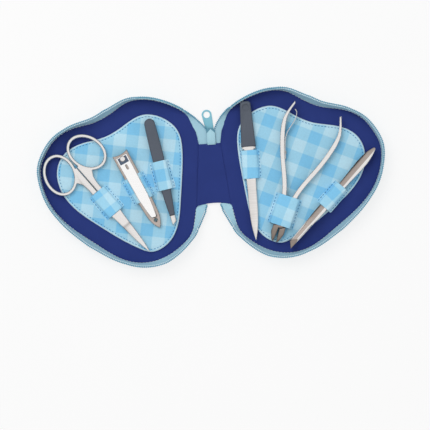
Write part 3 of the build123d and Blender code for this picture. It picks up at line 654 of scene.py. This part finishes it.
def makeLining(side):
    way = outward[side]
    bm = facet(f"{side}_lining")
    bmesh.ops.inset_region(bm, faces=bm.faces[:], thickness=liningShape["edgeInset"] * mm,
                           use_even_offset=True, use_boundary=True)
    low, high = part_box(f"{side}_lining")
    # rows of the grid meet both ends of the spine
    grid, corner, arch = (liningShape[part] for part in ("grid", "corner", "archHalf"))
    step = (grid["step"], (case["spineTop"] - case["spineFoot"]) / grid["rows"])
    start = (low.x / mm + grid["firstX"], case["spineFoot"] - grid["rows"] * step[1])
    gridCut(bm, bm.faces[:], step, start, (high.x / mm, high.y / mm))
    inner = case["layersFromX"] * mm
    onFold = {v for v in bm.verts if v.is_boundary and abs(abs(v.co.x) - inner) < 0.02 * mm}
    fold = [e for e in bm.edges if e.is_boundary and all(v in onFold for v in e.verts)]
    rim = [e for e in bm.edges if e.is_boundary and e not in fold]
    for vert in {v for e in rim for v in e.verts} - onFold:
        vert.co.z -= liningShape["edgeDrop"] * mm
    sides = bmesh.ops.extrude_edge_only(bm, edges=rim)
    for vert in newVerts(sides):
        vert.co.z = (case["panelTop"] - liningShape["wrap"]) * mm
    # over the fold and on across the spine
    spineTop = (case["spineTop"] + 0.01) * mm
    for x, z, over in liningShape["columns"]:
        if over is None:
            fold = [e for e in fold if all(v.co.y < spineTop for v in e.verts)]
        made = bmesh.ops.extrude_edge_only(bm, edges=fold)
        verts = set(newVerts(made))
        fold = [e for e in newEdges(made) if all(v in verts for v in e.verts)]
        for vert in verts:
            y = vert.co.y / mm
            lift = smooth((y - case["spineTop"]) / liningShape["climb"]) if over else 0.0
            edge = alongLine(liningShape["innerEdge"], y) if y > case["spineTop"] + 0.1 else x
            height = z + ((over or z) - z) * lift
            vert.co.x = way * max(x, edge) * mm
            turned = smooth((y - corner["from"]) / corner["run"])
            vert.co.z = (height + (corner["height"] - height) * turned) * mm
    bmesh.ops.remove_doubles(bm, verts=bm.verts, dist=0.02 * mm)
    # the seam that joins the spine's lining to the panel's
    seam = liningShape["seam"]
    slope = Vector((way, seam["slope"], 0)).normalized()
    for shift in (-seam["half"], 0.0, seam["half"]):
        near = [f for f in bm.faces if abs(f.calc_center_median().x) < seam["reach"] * mm and
                f.calc_center_median().y < spineTop]
        cutAt(bm, vec(way * (seam["top"] + shift), case["spineTop"], 0), slope, withEdges(near))
    for vert in bm.verts:
        x, y = abs(vert.co.x) / mm, vert.co.y / mm
        away = abs(x - seam["top"] - (case["spineTop"] - y) * seam["slope"])
        if away < 0.05 and y < case["spineTop"] + 0.1:
            vert.co.z -= seam["depth"] * mm
        if x < arch and y < case["spineFoot"] + 0.5:
            vert.co.y += case["spineArch"] * (1 - (x / arch) ** 2) * mm
        wave = liningShape["waves"] * drift(vert.co / mm, 14.0, 3.0 + way) * smooth((x - 1) / 6)
        vert.co.z += (wave + 0.01 * way) * mm
    bmesh.ops.recalc_face_normals(bm, faces=bm.faces)
    faceUp(bm)
    area = areaOf(bm)
    piece = finishMesh(bm, f"{side}_lining_cloth", finishes["lining"], 60)
    thicken(piece, liningShape["thickness"])
    bendAtFold(piece)
    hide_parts(f"{side}_lining", "spine_lining")


# Each ring steps inward and then up or down; the one that goes down is the sewn seam
padShape = {
    "edgeBelow": 0.62,
    "rings": [(0.35, 0.55), (0.45, 0.20), (0.5, 0.0), (0.35, -0.28), (0.3, 0.18), (0.5, 0.1), (1.4, 0.03)],
    "highlightRimWidth": 1.0,
    "grid": 3.0,
    "waves": 0.09,
    "fill": 0.5,
}


def makePad(side):
    bm = facet(f"{side}_tool_panel")
    top = bm.faces[:]
    walls = bmesh.ops.extrude_edge_only(bm, edges=bm.edges[:])
    for vert in newVerts(walls):
        vert.co.z = (case["panelTop"] + 0.1) * mm
    for vert in top[0].verts:
        vert.co.z -= padShape["edgeBelow"] * mm
    fromEdge = 0.0
    for inset, rise in padShape["rings"]:
        ring = bmesh.ops.inset_region(bm, faces=top, thickness=inset * mm, depth=0, use_even_offset=True)
        fromEdge += inset
        # the outer rings take the pale cloth: a painted highlight along the pad's edge
        if fromEdge < padShape["highlightRimWidth"]:
            for face in ring["faces"]:
                face.material_index = 1
        for vert in top[0].verts:
            vert.co.z += rise * mm
        if rise < 0:
            seamLine = [v.co.copy() for v in top[0].verts]
    inner = gridOver(bm, top, f"{side}_tool_panel", padShape["grid"])
    for vert in {v for f in inner for v in f.verts}:
        vert.co.z += padShape["waves"] * mm * drift(vert.co / mm, 9.0, 11.0)
    bmesh.ops.recalc_face_normals(bm, faces=bm.faces)
    if max(bm.faces, key=lambda f: f.calc_center_median().z).normal.z < 0:
        bmesh.ops.reverse_faces(bm, faces=bm.faces)
    bottom = [e for e in bm.edges if e.is_boundary]
    bmesh.ops.edgeloop_fill(bm, edges=bottom)
    bmesh.ops.recalc_face_normals(bm, faces=bm.faces)
    piece = finishMesh(bm, f"{side}_tool_pad", finishes[f"{side}Pad"], 60)
    piece.data.materials.append(finishes["padEdge"])
    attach(piece, f"{side}_half")
    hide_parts(f"{side}_tool_panel")
    return seamLine


stitchShape = {"length": 1.5, "gap": 0.75, "radius": 0.26, "flatness": 0.8}


def stitchMesh():
    bm = bmesh.new()
    bmesh.ops.create_uvsphere(bm, u_segments=6, v_segments=5, radius=stitchShape["radius"] * mm)
    stretch = stitchShape["length"] / stitchShape["radius"] / 2
    bmesh.ops.scale(bm, vec=(stretch, 1, stitchShape["flatness"]), verts=bm.verts)
    return keepMesh(bm, "stitch")


def stitchPlaces(points, closed, lift):
    if closed:
        points = points + [points[0]]
    pitch = stitchShape["length"] + stitchShape["gap"]
    count = max(2, round(lineLength(points) / mm / pitch))
    spots = evenPoints(points, count * 2)
    places = []
    for i in range(1, len(spots) - 1, 2):
        along = spots[i + 1] - spots[i - 1]
        places.append(frameAt(spots[i] + Vector((0, 0, lift * mm)), along))
    return places


def makeStitches(name, lines, side, lift, closed=False):
    places = [place for line in lines for place in stitchPlaces(line, closed, lift)]
    piece = finishMesh(scatter(stitchMesh(), places), name, finishes["thread"], 80)
    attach(piece, f"{side}_half")


# Each ring of the cover steps inward to its height, from the rolled edge past the sewn groove
coverShape = {
    "edgeHeight": 0.78,
    "foldGap": 0.35,
    "rings": [(0.12, 0.42), (0.28, 0.14), (0.5, 0.02), (1.6, 0.0), (0.25, 0.12), (0.25, 0.0)],
    "grid": 5.0,
    "thickness": 0.5,
}


def makeCover(side):
    bm = facet(f"{side}_cover", up=False)
    face = bm.faces[:]
    fold = case["foldX"] + coverShape["foldGap"]
    for vert in bm.verts:
        vert.co.z = coverShape["edgeHeight"] * mm if abs(vert.co.x) > fold * mm else 0.0
    for inset, height in coverShape["rings"]:
        bmesh.ops.inset_region(bm, faces=face, thickness=inset * mm, use_even_offset=True)
        for vert in face[0].verts:
            vert.co.z = height * mm
    seamLine = [v.co.copy() for v in face[0].verts]
    gridOver(bm, face, f"{side}_cover", coverShape["grid"])
    bmesh.ops.recalc_face_normals(bm, faces=bm.faces)
    faceUp(bm, up=False)
    area = areaOf(bm)
    piece = finishMesh(bm, f"{side}_cover_cloth", finishes[f"{side}Cover"], 60)
    thicken(piece, coverShape["thickness"])
    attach(piece, f"{side}_half")
    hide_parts(f"{side}_cover")
    return seamLine


# The columns are (X, height): a shallow crease runs along the fold and the edge tucks in behind the cover
vinylShape = {
    "columns": [(0.0, 0.05), (2.0, 0.05), (4.0, 0.05), (6.0, 0.05), (7.6, 0.05), (8.2, 0.2), (8.8, 0.05),
                (9.3, 0.05), (9.8, 0.05), (10.3, 0.17)],
    "rows": 24,
    "thickness": 0.5,
}


def makeSpineCover(side):
    top, foot = case["spineTop"], case["spineFoot"]
    edge = vinylShape["columns"][-1][0]
    rails = []
    for x, z in vinylShape["columns"]:
        arch = case["spineArch"] * (1 - (x / edge) ** 2)
        rail = []
        for k in range(vinylShape["rows"] + 1):
            y = foot + arch + (top - foot - arch) * k / vinylShape["rows"]
            rail.append(vec(outward[side] * x, y, z))
        rails.append(rail)
    bm = railSheet(rails)
    faceUp(bm, up=False)
    area = areaOf(bm)
    piece = finishMesh(bm, f"{side}_spine_vinyl", finishes["vinyl"], 60)
    thicken(piece, vinylShape["thickness"])
    bendAtFold(piece)
    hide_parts("spine_cover")


for side in ("left", "right"):
    makeLining(side)
    padSeam = makePad(side)
    makeStitches(f"{side}_pad_stitching", [padSeam], side, 0.06, closed=True)
    coverSeam = makeCover(side)
    makeStitches(f"{side}_cover_stitching", [coverSeam], side, -0.05, closed=True)
    makeSpineCover(side)
print("lining, pads and covers")

pipingShape = {"out": 0.78, "up": 1.0, "radius": 0.58}


def makePiping(side):
    rail = rimRail(side, lambda t: (pipingShape["out"], pipingShape["up"]))
    bm = tubeMesh(rail, pipingShape["radius"])
    piece = finishMesh(bm, f"{side}_piping_cord", finishes["piping"], 60)
    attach(piece, f"{side}_half")
    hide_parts(f"{side}_piping")


# The tape is sewn on from one fraction of the rim to the other. The hem is its (outward, up) foot
tapeShape = {
    "from": 0.05, "to": 0.96, "hem": (0.3, 1.3), "sewnBelow": 0.15, "underCoil": 0.1, "thickness": 0.35,
    "bow": 0.5, "bowFullAtRise": 4, "cut": 12.0, "strips": 6, "endSteps": 26,
}

# The tape's free ends by the spine: the sewn edge and the edge that carries the coil,
# each from the panel to the spine
tapeEnds = {
    "top": {
        "sewn": [(14.4, 43.9, 2.05), (13.0, 42.0, 2.0), (12.3, 40.2, 2.0), (10.8, 35.1, 1.75),
                 (8.9, 29.2, 1.95), (8.1, 25.6, 1.6), (7.9, 24.0, 1.1), (7.8, 22.0, 0.85)],
        "left": [(13.8, 45.0, 4.7), (9.4, 41.3, 3.7), (4.2, 35.7, 3.0), (1.4, 31.6, 2.4), (1.0, 28.5, 2.3),
                 (1.0, 25.6, 1.9), (1.0, 24.0, 1.2), (1.0, 22.0, 0.85)],
        "right": [(14.0, 45.6, 4.8), (9.5, 41.1, 3.7), (6.3, 36.4, 3.0), (4.2, 32.2, 2.4), (3.8, 28.5, 2.3),
                  (3.8, 25.6, 1.9), (3.8, 24.0, 1.2), (3.8, 22.0, 0.85)],
        "teeth": 4,
    },
    "foot": {
        "sewn": [(12.7, -21.4, 2.0), (12.1, -19.4, 1.7), (11.8, -17.8, 1.2), (11.6, -15.9, 0.85)],
        "left": [(6.3, -21.7, 2.7), (5.6, -19.8, 1.9), (5.0, -18.1, 1.2), (4.7, -15.6, 0.85)],
        "right": [(6.3, -21.7, 2.7), (5.6, -19.8, 1.9), (5.0, -18.1, 1.2), (4.7, -15.6, 0.85)],
        "teeth": 3,
    },
}


def tapePoint(side, t, part):
    # a point on the tape, from the panel at part 0 to the coil at part 1
    reach = leanAt(t) - rimShape["coilWidth"] - tapeShape["underCoil"]
    rise = riseAt(t)
    bow = tapeShape["bow"] * math.sin(math.pi * part) * min(1.0, rise / tapeShape["bowFullAtRise"])
    foot, below = tapeShape["hem"][0], tapeShape["sewnBelow"]
    out = foot + (reach - foot) * part + bow
    up = case["panelTop"] - below + (rise + below) * part
    return rimSpot(side, round(t * rimShape["stations"]), out, up)


def coilPoint(t):
    return leanAt(t) - rimShape["coilWidth"] / 2, case["panelTop"] + riseAt(t)


def clothStrip(name, rails, side, bends):
    bm = railSheet(rails)
    faceUp(bm)
    area = areaOf(bm)
    piece = finishMesh(bm, name, finishes["tape"], 60)
    thicken(piece, tapeShape["thickness"], 0.0)
    if bends:
        bendAtFold(piece)
        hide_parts("zipper_tape_ends")
    else:
        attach(piece, f"{side}_half")
        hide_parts(f"{side}_zipper_tape")


def tapeStations():
    return [round(tapeShape[k] * rimShape["stations"]) for k in ("from", "to")]


def makeTape(side):
    first, last = tapeStations()
    count = rimShape["stations"]
    shares = [k / tapeShape["strips"] for k in range(tapeShape["strips"] + 1)]
    hem = rimRail(side, lambda t: tapeShape["hem"])[first:last + 1]
    rails = [[tapePoint(side, i / count, share) for i in range(first, last + 1)] for share in shares]
    clothStrip(f"{side}_tape_cloth", [hem] + rails, side, False)
    for end, stations in (("top", [first]), ("foot", range(last, count + 1))):
        edges = []
        for part, line in ((0.0, "sewn"), (1.0, side)):
            points = [tapePoint(side, i / count, part) for i in stations]
            points += [vec(outward[side] * x, y, z) for x, y, z in tapeEnds[end][line]]
            edges.append(evenPoints(points, tapeShape["endSteps"]))
        rails = [[a.lerp(b, share) for a, b in zip(*edges)] for share in shares]
        clothStrip(f"{side}_tape_{end}_end", rails, side, True)


coilShape = {
    "pitch": 1.25, "wire": 0.36, "sides": 5, "steps": 9, "core": 0.3, "endShift": (-0.5, 0.1, 0.15),
}


def toothMesh():
    bm = bmesh.new()
    ring = (rimShape["coilHeight"] / 2 - coilShape["wire"]) * mm
    place = Matrix.Translation((0, 0, ring)) @ Matrix.Rotation(math.radians(90), 4, "X")
    wire = coilShape["wire"] * mm
    made = bmesh.ops.create_circle(bm, segments=coilShape["sides"], radius=wire, matrix=place)
    geom = made["verts"] + bm.edges[:]
    bmesh.ops.spin(bm, geom=geom, cent=(0, 0, 0), axis=(1, 0, 0), angle=math.tau,
                   steps=coilShape["steps"], use_merge=True)
    bmesh.ops.remove_doubles(bm, verts=bm.verts, dist=1e-7)
    bmesh.ops.scale(bm, vec=(1, rimShape["coilWidth"] / rimShape["coilHeight"], 1), verts=bm.verts)
    bmesh.ops.recalc_face_normals(bm, faces=bm.faces)
    return keepMesh(bm, "tooth")


def teethAlong(name, line, tooth, side, bends):
    spots = evenPoints(line, round(lineLength(line) / mm / coilShape["pitch"]))
    places = [frameAt(spots[i], spots[i + 1] - spots[i - 1]) for i in range(1, len(spots) - 1)]
    bm = scatter(tooth, places)
    bm.from_mesh(keepMesh(tubeMesh(line, coilShape["core"], 2), "core"))
    piece = finishMesh(bm, name, finishes["coil"], 80)
    if bends:
        bendAtFold(piece)
        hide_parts("zipper_coil_ends")
    else:
        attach(piece, f"{side}_half")
        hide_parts(f"{side}_zipper_coil")


def makeCoil(side, tooth):
    rail = rimRail(side, coilPoint)
    first, last = tapeStations()
    teethAlong(f"{side}_coil_teeth", rail[first:last + 1], tooth, side, False)
    dx, dy, dz = coilShape["endShift"]
    for end, line in (("top", [rail[first]]), ("foot", rail[last:])):
        # past the rim the coil lies on the outer edge of the tape's free end
        edge = tapeEnds[end][side][:tapeEnds[end]["teeth"]]
        line = line + [vec(outward[side] * (x + dx), y + dy, z + dz) for x, y, z in edge]
        teethAlong(f"{side}_coil_{end}_end", line, tooth, side, True)


tooth = toothMesh()
for side in ("left", "right"):
    makePiping(side)
    makeTape(side)
    makeCoil(side, tooth)
print("piping, tape and coil")


def cleanCopy(node):
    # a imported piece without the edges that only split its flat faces
    bm = nodeCopy(node)
    bmesh.ops.dissolve_limit(bm, angle_limit=0.01, verts=bm.verts, edges=bm.edges)
    return bm


def softCopy(name, node, material, body, width):
    bm = cleanCopy(node)
    roundEdges(bm, sharpEdges(bm, 40), width)
    piece = finishMesh(bm, name, finishes[material], 40)
    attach(piece, body)
    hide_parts(node)


softCopy("pointed_end_patch", "zipper_end_patch", "patch", "spine", 0.15)
softCopy("slider_body", "zipper_slider", "slider", "spine", 0.2)
softCopy("slider_pull_tab", "zipper_pull", "pull", "zipper_pull", 0.22)
print("slider and pull")

# Where each tool lies: its tip, and the direction that it points back from the tip, in degrees
toolSpots = {
    "scissors": {"tip": (-45.4, -47.4), "turn": 127.0},
    "clipper": {"tip": (-37.5, -31.5), "turn": 114.5},
    "pusher": {"tip": (-27.4, -30.4), "turn": 100.0},
    "file": {"tip": (26.9, -44.8), "turn": 90.6},
    "nippers": {"tip": (39.0, -46.8), "turn": 67.8},
    "tweezers": {"tip": (48.55, -50.65), "turn": 45.0},
}


def toolPlace(tool):
    spot = toolSpots[tool]
    return Matrix.Translation(vec(*spot["tip"], 0)) @ Matrix.Rotation(math.radians(spot["turn"]), 4, "Z")


# Span is where the loop begins and ends along its tool. Check is the shift of its gingham
loops = {
    "scissors": {"span": (34.8, 54.7), "width": 10.4, "height": 3.8, "check": (3.0, 5.0)},
    "clipper": {"span": (21.0, 40.0), "width": 11.4, "height": 4.1, "check": (9.0, 2.0)},
    "pusher": {"span": (24.3, 45.0), "width": 8.6, "height": 4.4, "check": (1.0, 7.0)},
    "file": {"span": (41.8, 61.9), "width": 9.8, "height": 2.7, "check": (6.0, 3.0)},
    "nippers": {"span": (11.6, 33.2), "width": 13.4, "height": 5.8, "check": (4.0, 9.0)},
    "tweezers": {"span": (35.7, 55.3), "width": 7.6, "height": 5.4, "check": (8.0, 6.0)},
}
# lift makes each loop's gingham lighter than the pad's: painted light, to offset the loops' darker shading
loopCloth = {
    "thickness": 0.55, "clear": 0.35, "flange": 2.3, "steps": 12, "endInset": 0.3, "puff": 0.12,
    "checkTurn": 4.0, "lift": 1.04, "stitchOut": 1.35, "stitchInset": 0.8, "stitchUp": 0.58,
}


def loopSection(spec, flangeLeft):
    # from the right flange over the tool to the left side, as (across, up)
    half = spec["width"] / 2 + loopCloth["clear"]
    high = spec["height"] + loopCloth["clear"]
    flange = [(half + loopCloth["flange"], 0.3), (half + 1.3, 0.28), (half + 0.45, 0.3)]
    side = [(half + 0.05, 0.55), (half, 1.0), (half, high * 0.55), (half - 0.15, high - 0.7),
            (half - 0.75, high - 0.12), (half * 0.55, high + 0.05)]
    left = (flange if flangeLeft else []) + side
    return flange + side + [(0.0, high + 0.1)] + [(-y, z) for y, z in reversed(left)]


def makeLoop(tool, spec):
    place = toolPlace(tool)
    tip, turn = toolSpots[tool]["tip"], toolSpots[tool]["turn"]
    side = "left" if tip[0] < 0 else "right"
    # the file's loop is sewn down on one side only
    onFile = tool == "file"
    section = loopSection(spec, flangeLeft=not onFile)
    if onFile:
        section = [(-y, z) for y, z in section]
    start, end = spec["span"]
    inset, steps = loopCloth["endInset"], loopCloth["steps"]
    rails = []
    for y, z in section:
        rail = []
        for k in range(steps + 1):
            x = start + inset + (end - start - 2 * inset) * k / steps
            puff = loopCloth["puff"] * drift((x, y, z), 6.0, turn) * smooth(z / 2)
            rail.append(place @ vec(x, y * (1 + puff * 0.05), case["padTop"] + z + puff))
        rails.append(rail)
    bm = railSheet(rails)
    if max(bm.faces, key=lambda f: f.calc_center_median().z).normal.z < 0:
        bmesh.ops.reverse_faces(bm, faces=bm.faces)
    area = areaOf(bm)
    checkTurn = loopCloth["checkTurn"] - turn
    cloth = ginghamFinish(f"{tool}LoopGingham", checkTurn, spec["check"], loopCloth["lift"])
    piece = finishMesh(bm, f"{tool}_strap", cloth, 70)
    thicken(piece, loopCloth["thickness"], 0.0, 1)
    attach(piece, f"{side}_half")
    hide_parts(f"{tool}_loop")
    seams = []
    inset, height = loopCloth["stitchInset"], case["padTop"] + loopCloth["stitchUp"]
    for way in (-1,) if onFile else (-1, 1):
        y = way * (spec["width"] / 2 + loopCloth["clear"] + loopCloth["stitchOut"])
        seams.append([place @ vec(x, y, height) for x in (start + inset, (start + end) / 2, end - inset)])
    makeStitches(f"{tool}_stitching", seams, side, 0.02)


for tool, spec in loops.items():
    makeLoop(tool, spec)
print("loops")


def inTool(tool, spot):
    # a point in the tool's own millimetres: X from its tip to its far end
    return toolPlace(tool).inverted() @ spot / mm


def moveInTool(tool, vert, x, y):
    # moves a corner and keeps its height
    height = vert.co.z
    vert.co = toolPlace(tool) @ vec(x, y, 0)
    vert.co.z = height


def cutTool(bm, tool, spot, normal):
    # cuts straight down through a piece; spot and normal lie in the tool's own plane
    place = toolPlace(tool)
    cutAt(bm, place @ vec(*spot, 0), place.to_3x3() @ Vector((*normal, 0)))


def roundWhere(bm, tool, width, segments=2, fromX=-math.inf, toX=math.inf, angle=40):
    middles = [(e, inTool(tool, (e.verts[0].co + e.verts[1].co) / 2)) for e in sharpEdges(bm, angle)]
    roundEdges(bm, [e for e, spot in middles if fromX < spot.x < toX], width, segments)


def finishTool(bm, name, node, body, material, *others, sharp=40):
    # others are the finishes of the faces that are marked 1, 2 and so on
    bmesh.ops.recalc_face_normals(bm, faces=bm.faces)
    piece = finishMesh(bm, name, finishes[material], sharp)
    for other in others:
        piece.data.materials.append(finishes[other])
    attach(piece, body)
    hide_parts(node)


scissorsShape = {
    "step": {"at": 24.0, "run": 0.7, "depth": 0.5},
    "rings": {"from": 64.5, "rounding": 0.8},
    "blades": {"to": 63.5, "rounding": 0.22},
}


def makeScissors():
    step, rings, blades = (scissorsShape[part] for part in ("step", "rings", "blades"))
    for level, body in (("lower", "scissors"), ("upper", "scissors_upper")):
        node = f"scissors_{level}_half"
        bm = cleanCopy(node)
        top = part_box(node)[1].z
        for at in (step["at"], step["at"] + step["run"]):
            cutTool(bm, "scissors", (at, 0), (1, 0))
        if level == "upper":
            # ground lower on the tip's side of the step
            for vert in bm.verts:
                if vert.co.z > top - 0.1 * mm and inTool("scissors", vert.co).x < step["at"] + 0.1:
                    vert.co.z -= step["depth"] * mm
        roundWhere(bm, "scissors", rings["rounding"], 3, fromX=rings["from"])
        roundWhere(bm, "scissors", blades["rounding"], toX=blades["to"])
        finishTool(bm, f"scissors_{level}_blade", node, body, "polished")


# The handle's line gives its distance from the nippers' own middle line, as (along, across)
nippersShape = {
    "middle": 2.4,
    "handleLine": [(17.0, 2.2), (25.0, 2.7), (34.0, 4.0), (53.7, 11.4), (71.3, 17.5), (82.5, 19.3),
                   (94.9, 16.1)],
    "taper": {"from": 74.0, "to": 95.0, "keep": 0.4},
    "handles": {"from": 21.0, "rounding": 1.0},
    "head": {"to": 20.0, "rounding": 0.3},
    "jaws": {"end": 9.5, "slope": 0.28, "dull": 12.7},
}


def makeNippers():
    taper, handles, head, jaws = (nippersShape[part] for part in ("taper", "handles", "head", "jaws"))
    middle = (case["toolLow"] + nippersShape["middle"]) * mm
    for side, body, way in (("left", "nippers", 1), ("right", "nippers_right", -1)):
        node = f"nippers_{side}_half"
        bm = cleanCopy(node)
        roundWhere(bm, "nippers", handles["rounding"], 3, fromX=handles["from"])
        roundWhere(bm, "nippers", head["rounding"], toX=head["to"])
        for vert in bm.verts:
            spot = inTool("nippers", vert.co)
            if spot.x > taper["from"]:
                part = smooth((spot.x - taper["from"]) / (taper["to"] - taper["from"]))
                keep = 1 - (1 - taper["keep"]) * part
                line = way * alongLine(nippersShape["handleLine"], spot.x)
                moveInTool("nippers", vert, spot.x, line + (spot.y - line) * keep)
                vert.co.z = middle + (vert.co.z - middle) * keep
        # the jaws slope down to the cutting edges and are left dull, in the jaw steel, whose darker tone is
        # painted shade
        for at in (jaws["end"], jaws["dull"]):
            cutTool(bm, "nippers", (at, 0), (1, 0))
        for vert in bm.verts:
            spot = inTool("nippers", vert.co)
            if spot.x < jaws["end"] and vert.co.z > middle:
                vert.co.z -= jaws["slope"] * (jaws["end"] - spot.x) * mm
        for face in bm.faces:
            if inTool("nippers", face.calc_center_median()).x < jaws["dull"]:
                face.material_index = 1
        finishTool(bm, f"nippers_{side}_handle", node, body, "polished", "jaw")


# The taper gives half the lever's width, as (along, across). The window round the pin is painted in dark
# steel, a painted shade
leverShape = {
    "taper": [(7.4, 0.3), (7.7, 1.0), (8.4, 1.6), (9.5, 2.0), (16.0, 2.9), (24.0, 3.7), (30.0, 4.1)],
    "window": {"from": 49.6, "to": 54.4, "half": 3.2},
    "rounding": 0.3,
}


def makeClipperLever():
    taper, window = leverShape["taper"], leverShape["window"]
    bm = cleanCopy("clipper_lever")
    for vert in bm.verts:
        spot = inTool("clipper", vert.co)
        if spot.x < taper[-1][0]:
            moveInTool("clipper", vert, spot.x, math.copysign(alongLine(taper, spot.x), spot.y))
    for x in (window["from"], window["to"]):
        cutTool(bm, "clipper", (x, 0), (1, 0))
    for y in (-window["half"], window["half"]):
        cutTool(bm, "clipper", (0, y), (0, 1))
    # the window's upward faces take the dark steel: painted shade in the recess
    for face in bm.faces:
        spot = inTool("clipper", face.calc_center_median())
        inside = window["from"] < spot.x < window["to"] and abs(spot.y) < window["half"]
        if inside and face.normal.z > 0.7:
            face.material_index = 1
    roundWhere(bm, "clipper", leverShape["rounding"], 3)
    # the lever takes the lighter steel, painted light, and its window the dark steel, painted shade
    finishTool(bm, "clipper_thumb_lever", "clipper_lever", "clipper_lever", "bright", "dark")


# The upper leg is ground to a ridge: one wide face that reads grey and one narrow bright one, and a dull jaw.
# The wide face takes the shade steel and the jaw the jaw steel, both painted darker as painted shade
tweezersShape = {
    "ridge": -0.9,
    "slopes": {"from": 10.0, "run": 12, "grey": 0.27, "bright": 0.12},
    "jaw": {"cut": 7.0, "slant": 0.9, "end": 6.0},
    "narrow": {"from": 3.0, "to": 21.5, "by": 0.28},
    "cuts": range(4, 88, 6),
    "rounding": 0.2,
}


def narrowLeg(bm):
    spec = tweezersShape["narrow"]
    end = spec["to"] + 1.5
    for vert in bm.verts:
        spot = inTool("tweezers", vert.co)
        if 0 < spot.x < end:
            shut = smooth((end - spot.x) / 3.0) * smooth((spot.x - spec["from"]) / 5.0)
            moveInTool("tweezers", vert, spot.x, spot.y * (1 - spec["by"] * shut))


def makeTweezers():
    ridge, slopes, jaw = (tweezersShape[part] for part in ("ridge", "slopes", "jaw"))
    bm = cleanCopy("tweezers_upper_arm")
    for at in tweezersShape["cuts"]:
        cutTool(bm, "tweezers", (at, 0), (1, 0))
    cutTool(bm, "tweezers", (0, ridge), (0, 1))
    cutTool(bm, "tweezers", (jaw["cut"], 0), (1, jaw["slant"]))
    narrowLeg(bm)
    for vert in [v for v in bm.verts if any(f.normal.z > 0.7 for f in v.link_faces)]:
        spot = inTool("tweezers", vert.co)
        fade = smooth((spot.x - slopes["from"]) / slopes["run"])
        slope = slopes["grey"] if spot.y > ridge else slopes["bright"]
        vert.co.z -= abs(spot.y - ridge) * slope * fade * mm
    # the jaw and the wide face take darker steels: painted shade
    for face in bm.faces:
        spot = inTool("tweezers", face.calc_center_median())
        if spot.x < jaw["end"]:
            face.material_index = 1
        elif spot.y > ridge:
            face.material_index = 2
    roundWhere(bm, "tweezers", tweezersShape["rounding"], angle=30)
    finishTool(bm, "tweezers_upper_leg", "tweezers_upper_arm", "tweezers_upper", "polished", "jaw", "shade",
               sharp=12)


# The plain pieces: tool, name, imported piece, finish, body and rounding
plainPieces = [
    ("scissors", "scissors_slotted_screw", "scissors_screw", "brushed", "scissors", 0.12),
    ("clipper", "clipper_bottom_leaf", "clipper_lower_leaf", "shade", "clipper", 0.15),
    ("clipper", "clipper_top_leaf", "clipper_upper_leaf", "shade", "clipper_upper", 0.15),
    ("clipper", "clipper_tail_rivet", "clipper_rivet", "brushed", "clipper", 0.1),
    ("clipper", "clipper_pin_head", "clipper_pin", "polished", "clipper", 0.12),
    ("pusher", "pusher_steel_tip", "pusher_blade", "brushed", "pusher", 0.15),
    ("file", "file_steel_blade", "file_blade", "brushed", "file", 0.15),
    ("nippers", "nippers_centre_rivet", "nippers_rivet", "brushed", "nippers", 0.12),
    ("nippers", "nippers_leaf_spring", "nippers_spring", "polished", "nippers", 0.1),
    ("nippers", "nippers_spring_stud", "nippers_spring_rivet", "brushed", "nippers", 0.12),
    ("tweezers", "tweezers_lower_leg", "tweezers_lower_arm", "polished", "tweezers", 0.25),
    ("file", "file_grip", "file_handle", "grip", "file", 0.2),
]
makeScissors()
makeNippers()
makeClipperLever()
makeTweezers()
for tool, name, node, material, body, width in plainPieces:
    bm = cleanCopy(node)
    roundWhere(bm, tool, width)
    finishTool(bm, name, node, body, material)
bm = nodeCopy("pusher_handle")  # its edges are round as packed
finishTool(bm, "pusher_grip", "pusher_handle", "pusher", "grip")
print("tools")

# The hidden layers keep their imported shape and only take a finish
for node, material in (("left_board", "board"), ("right_board", "board"), ("spine_padding", "foam")):
    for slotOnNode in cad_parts[node].material_slots:
        slotOnNode.link = "OBJECT"
        slotOnNode.material = finishes[material]
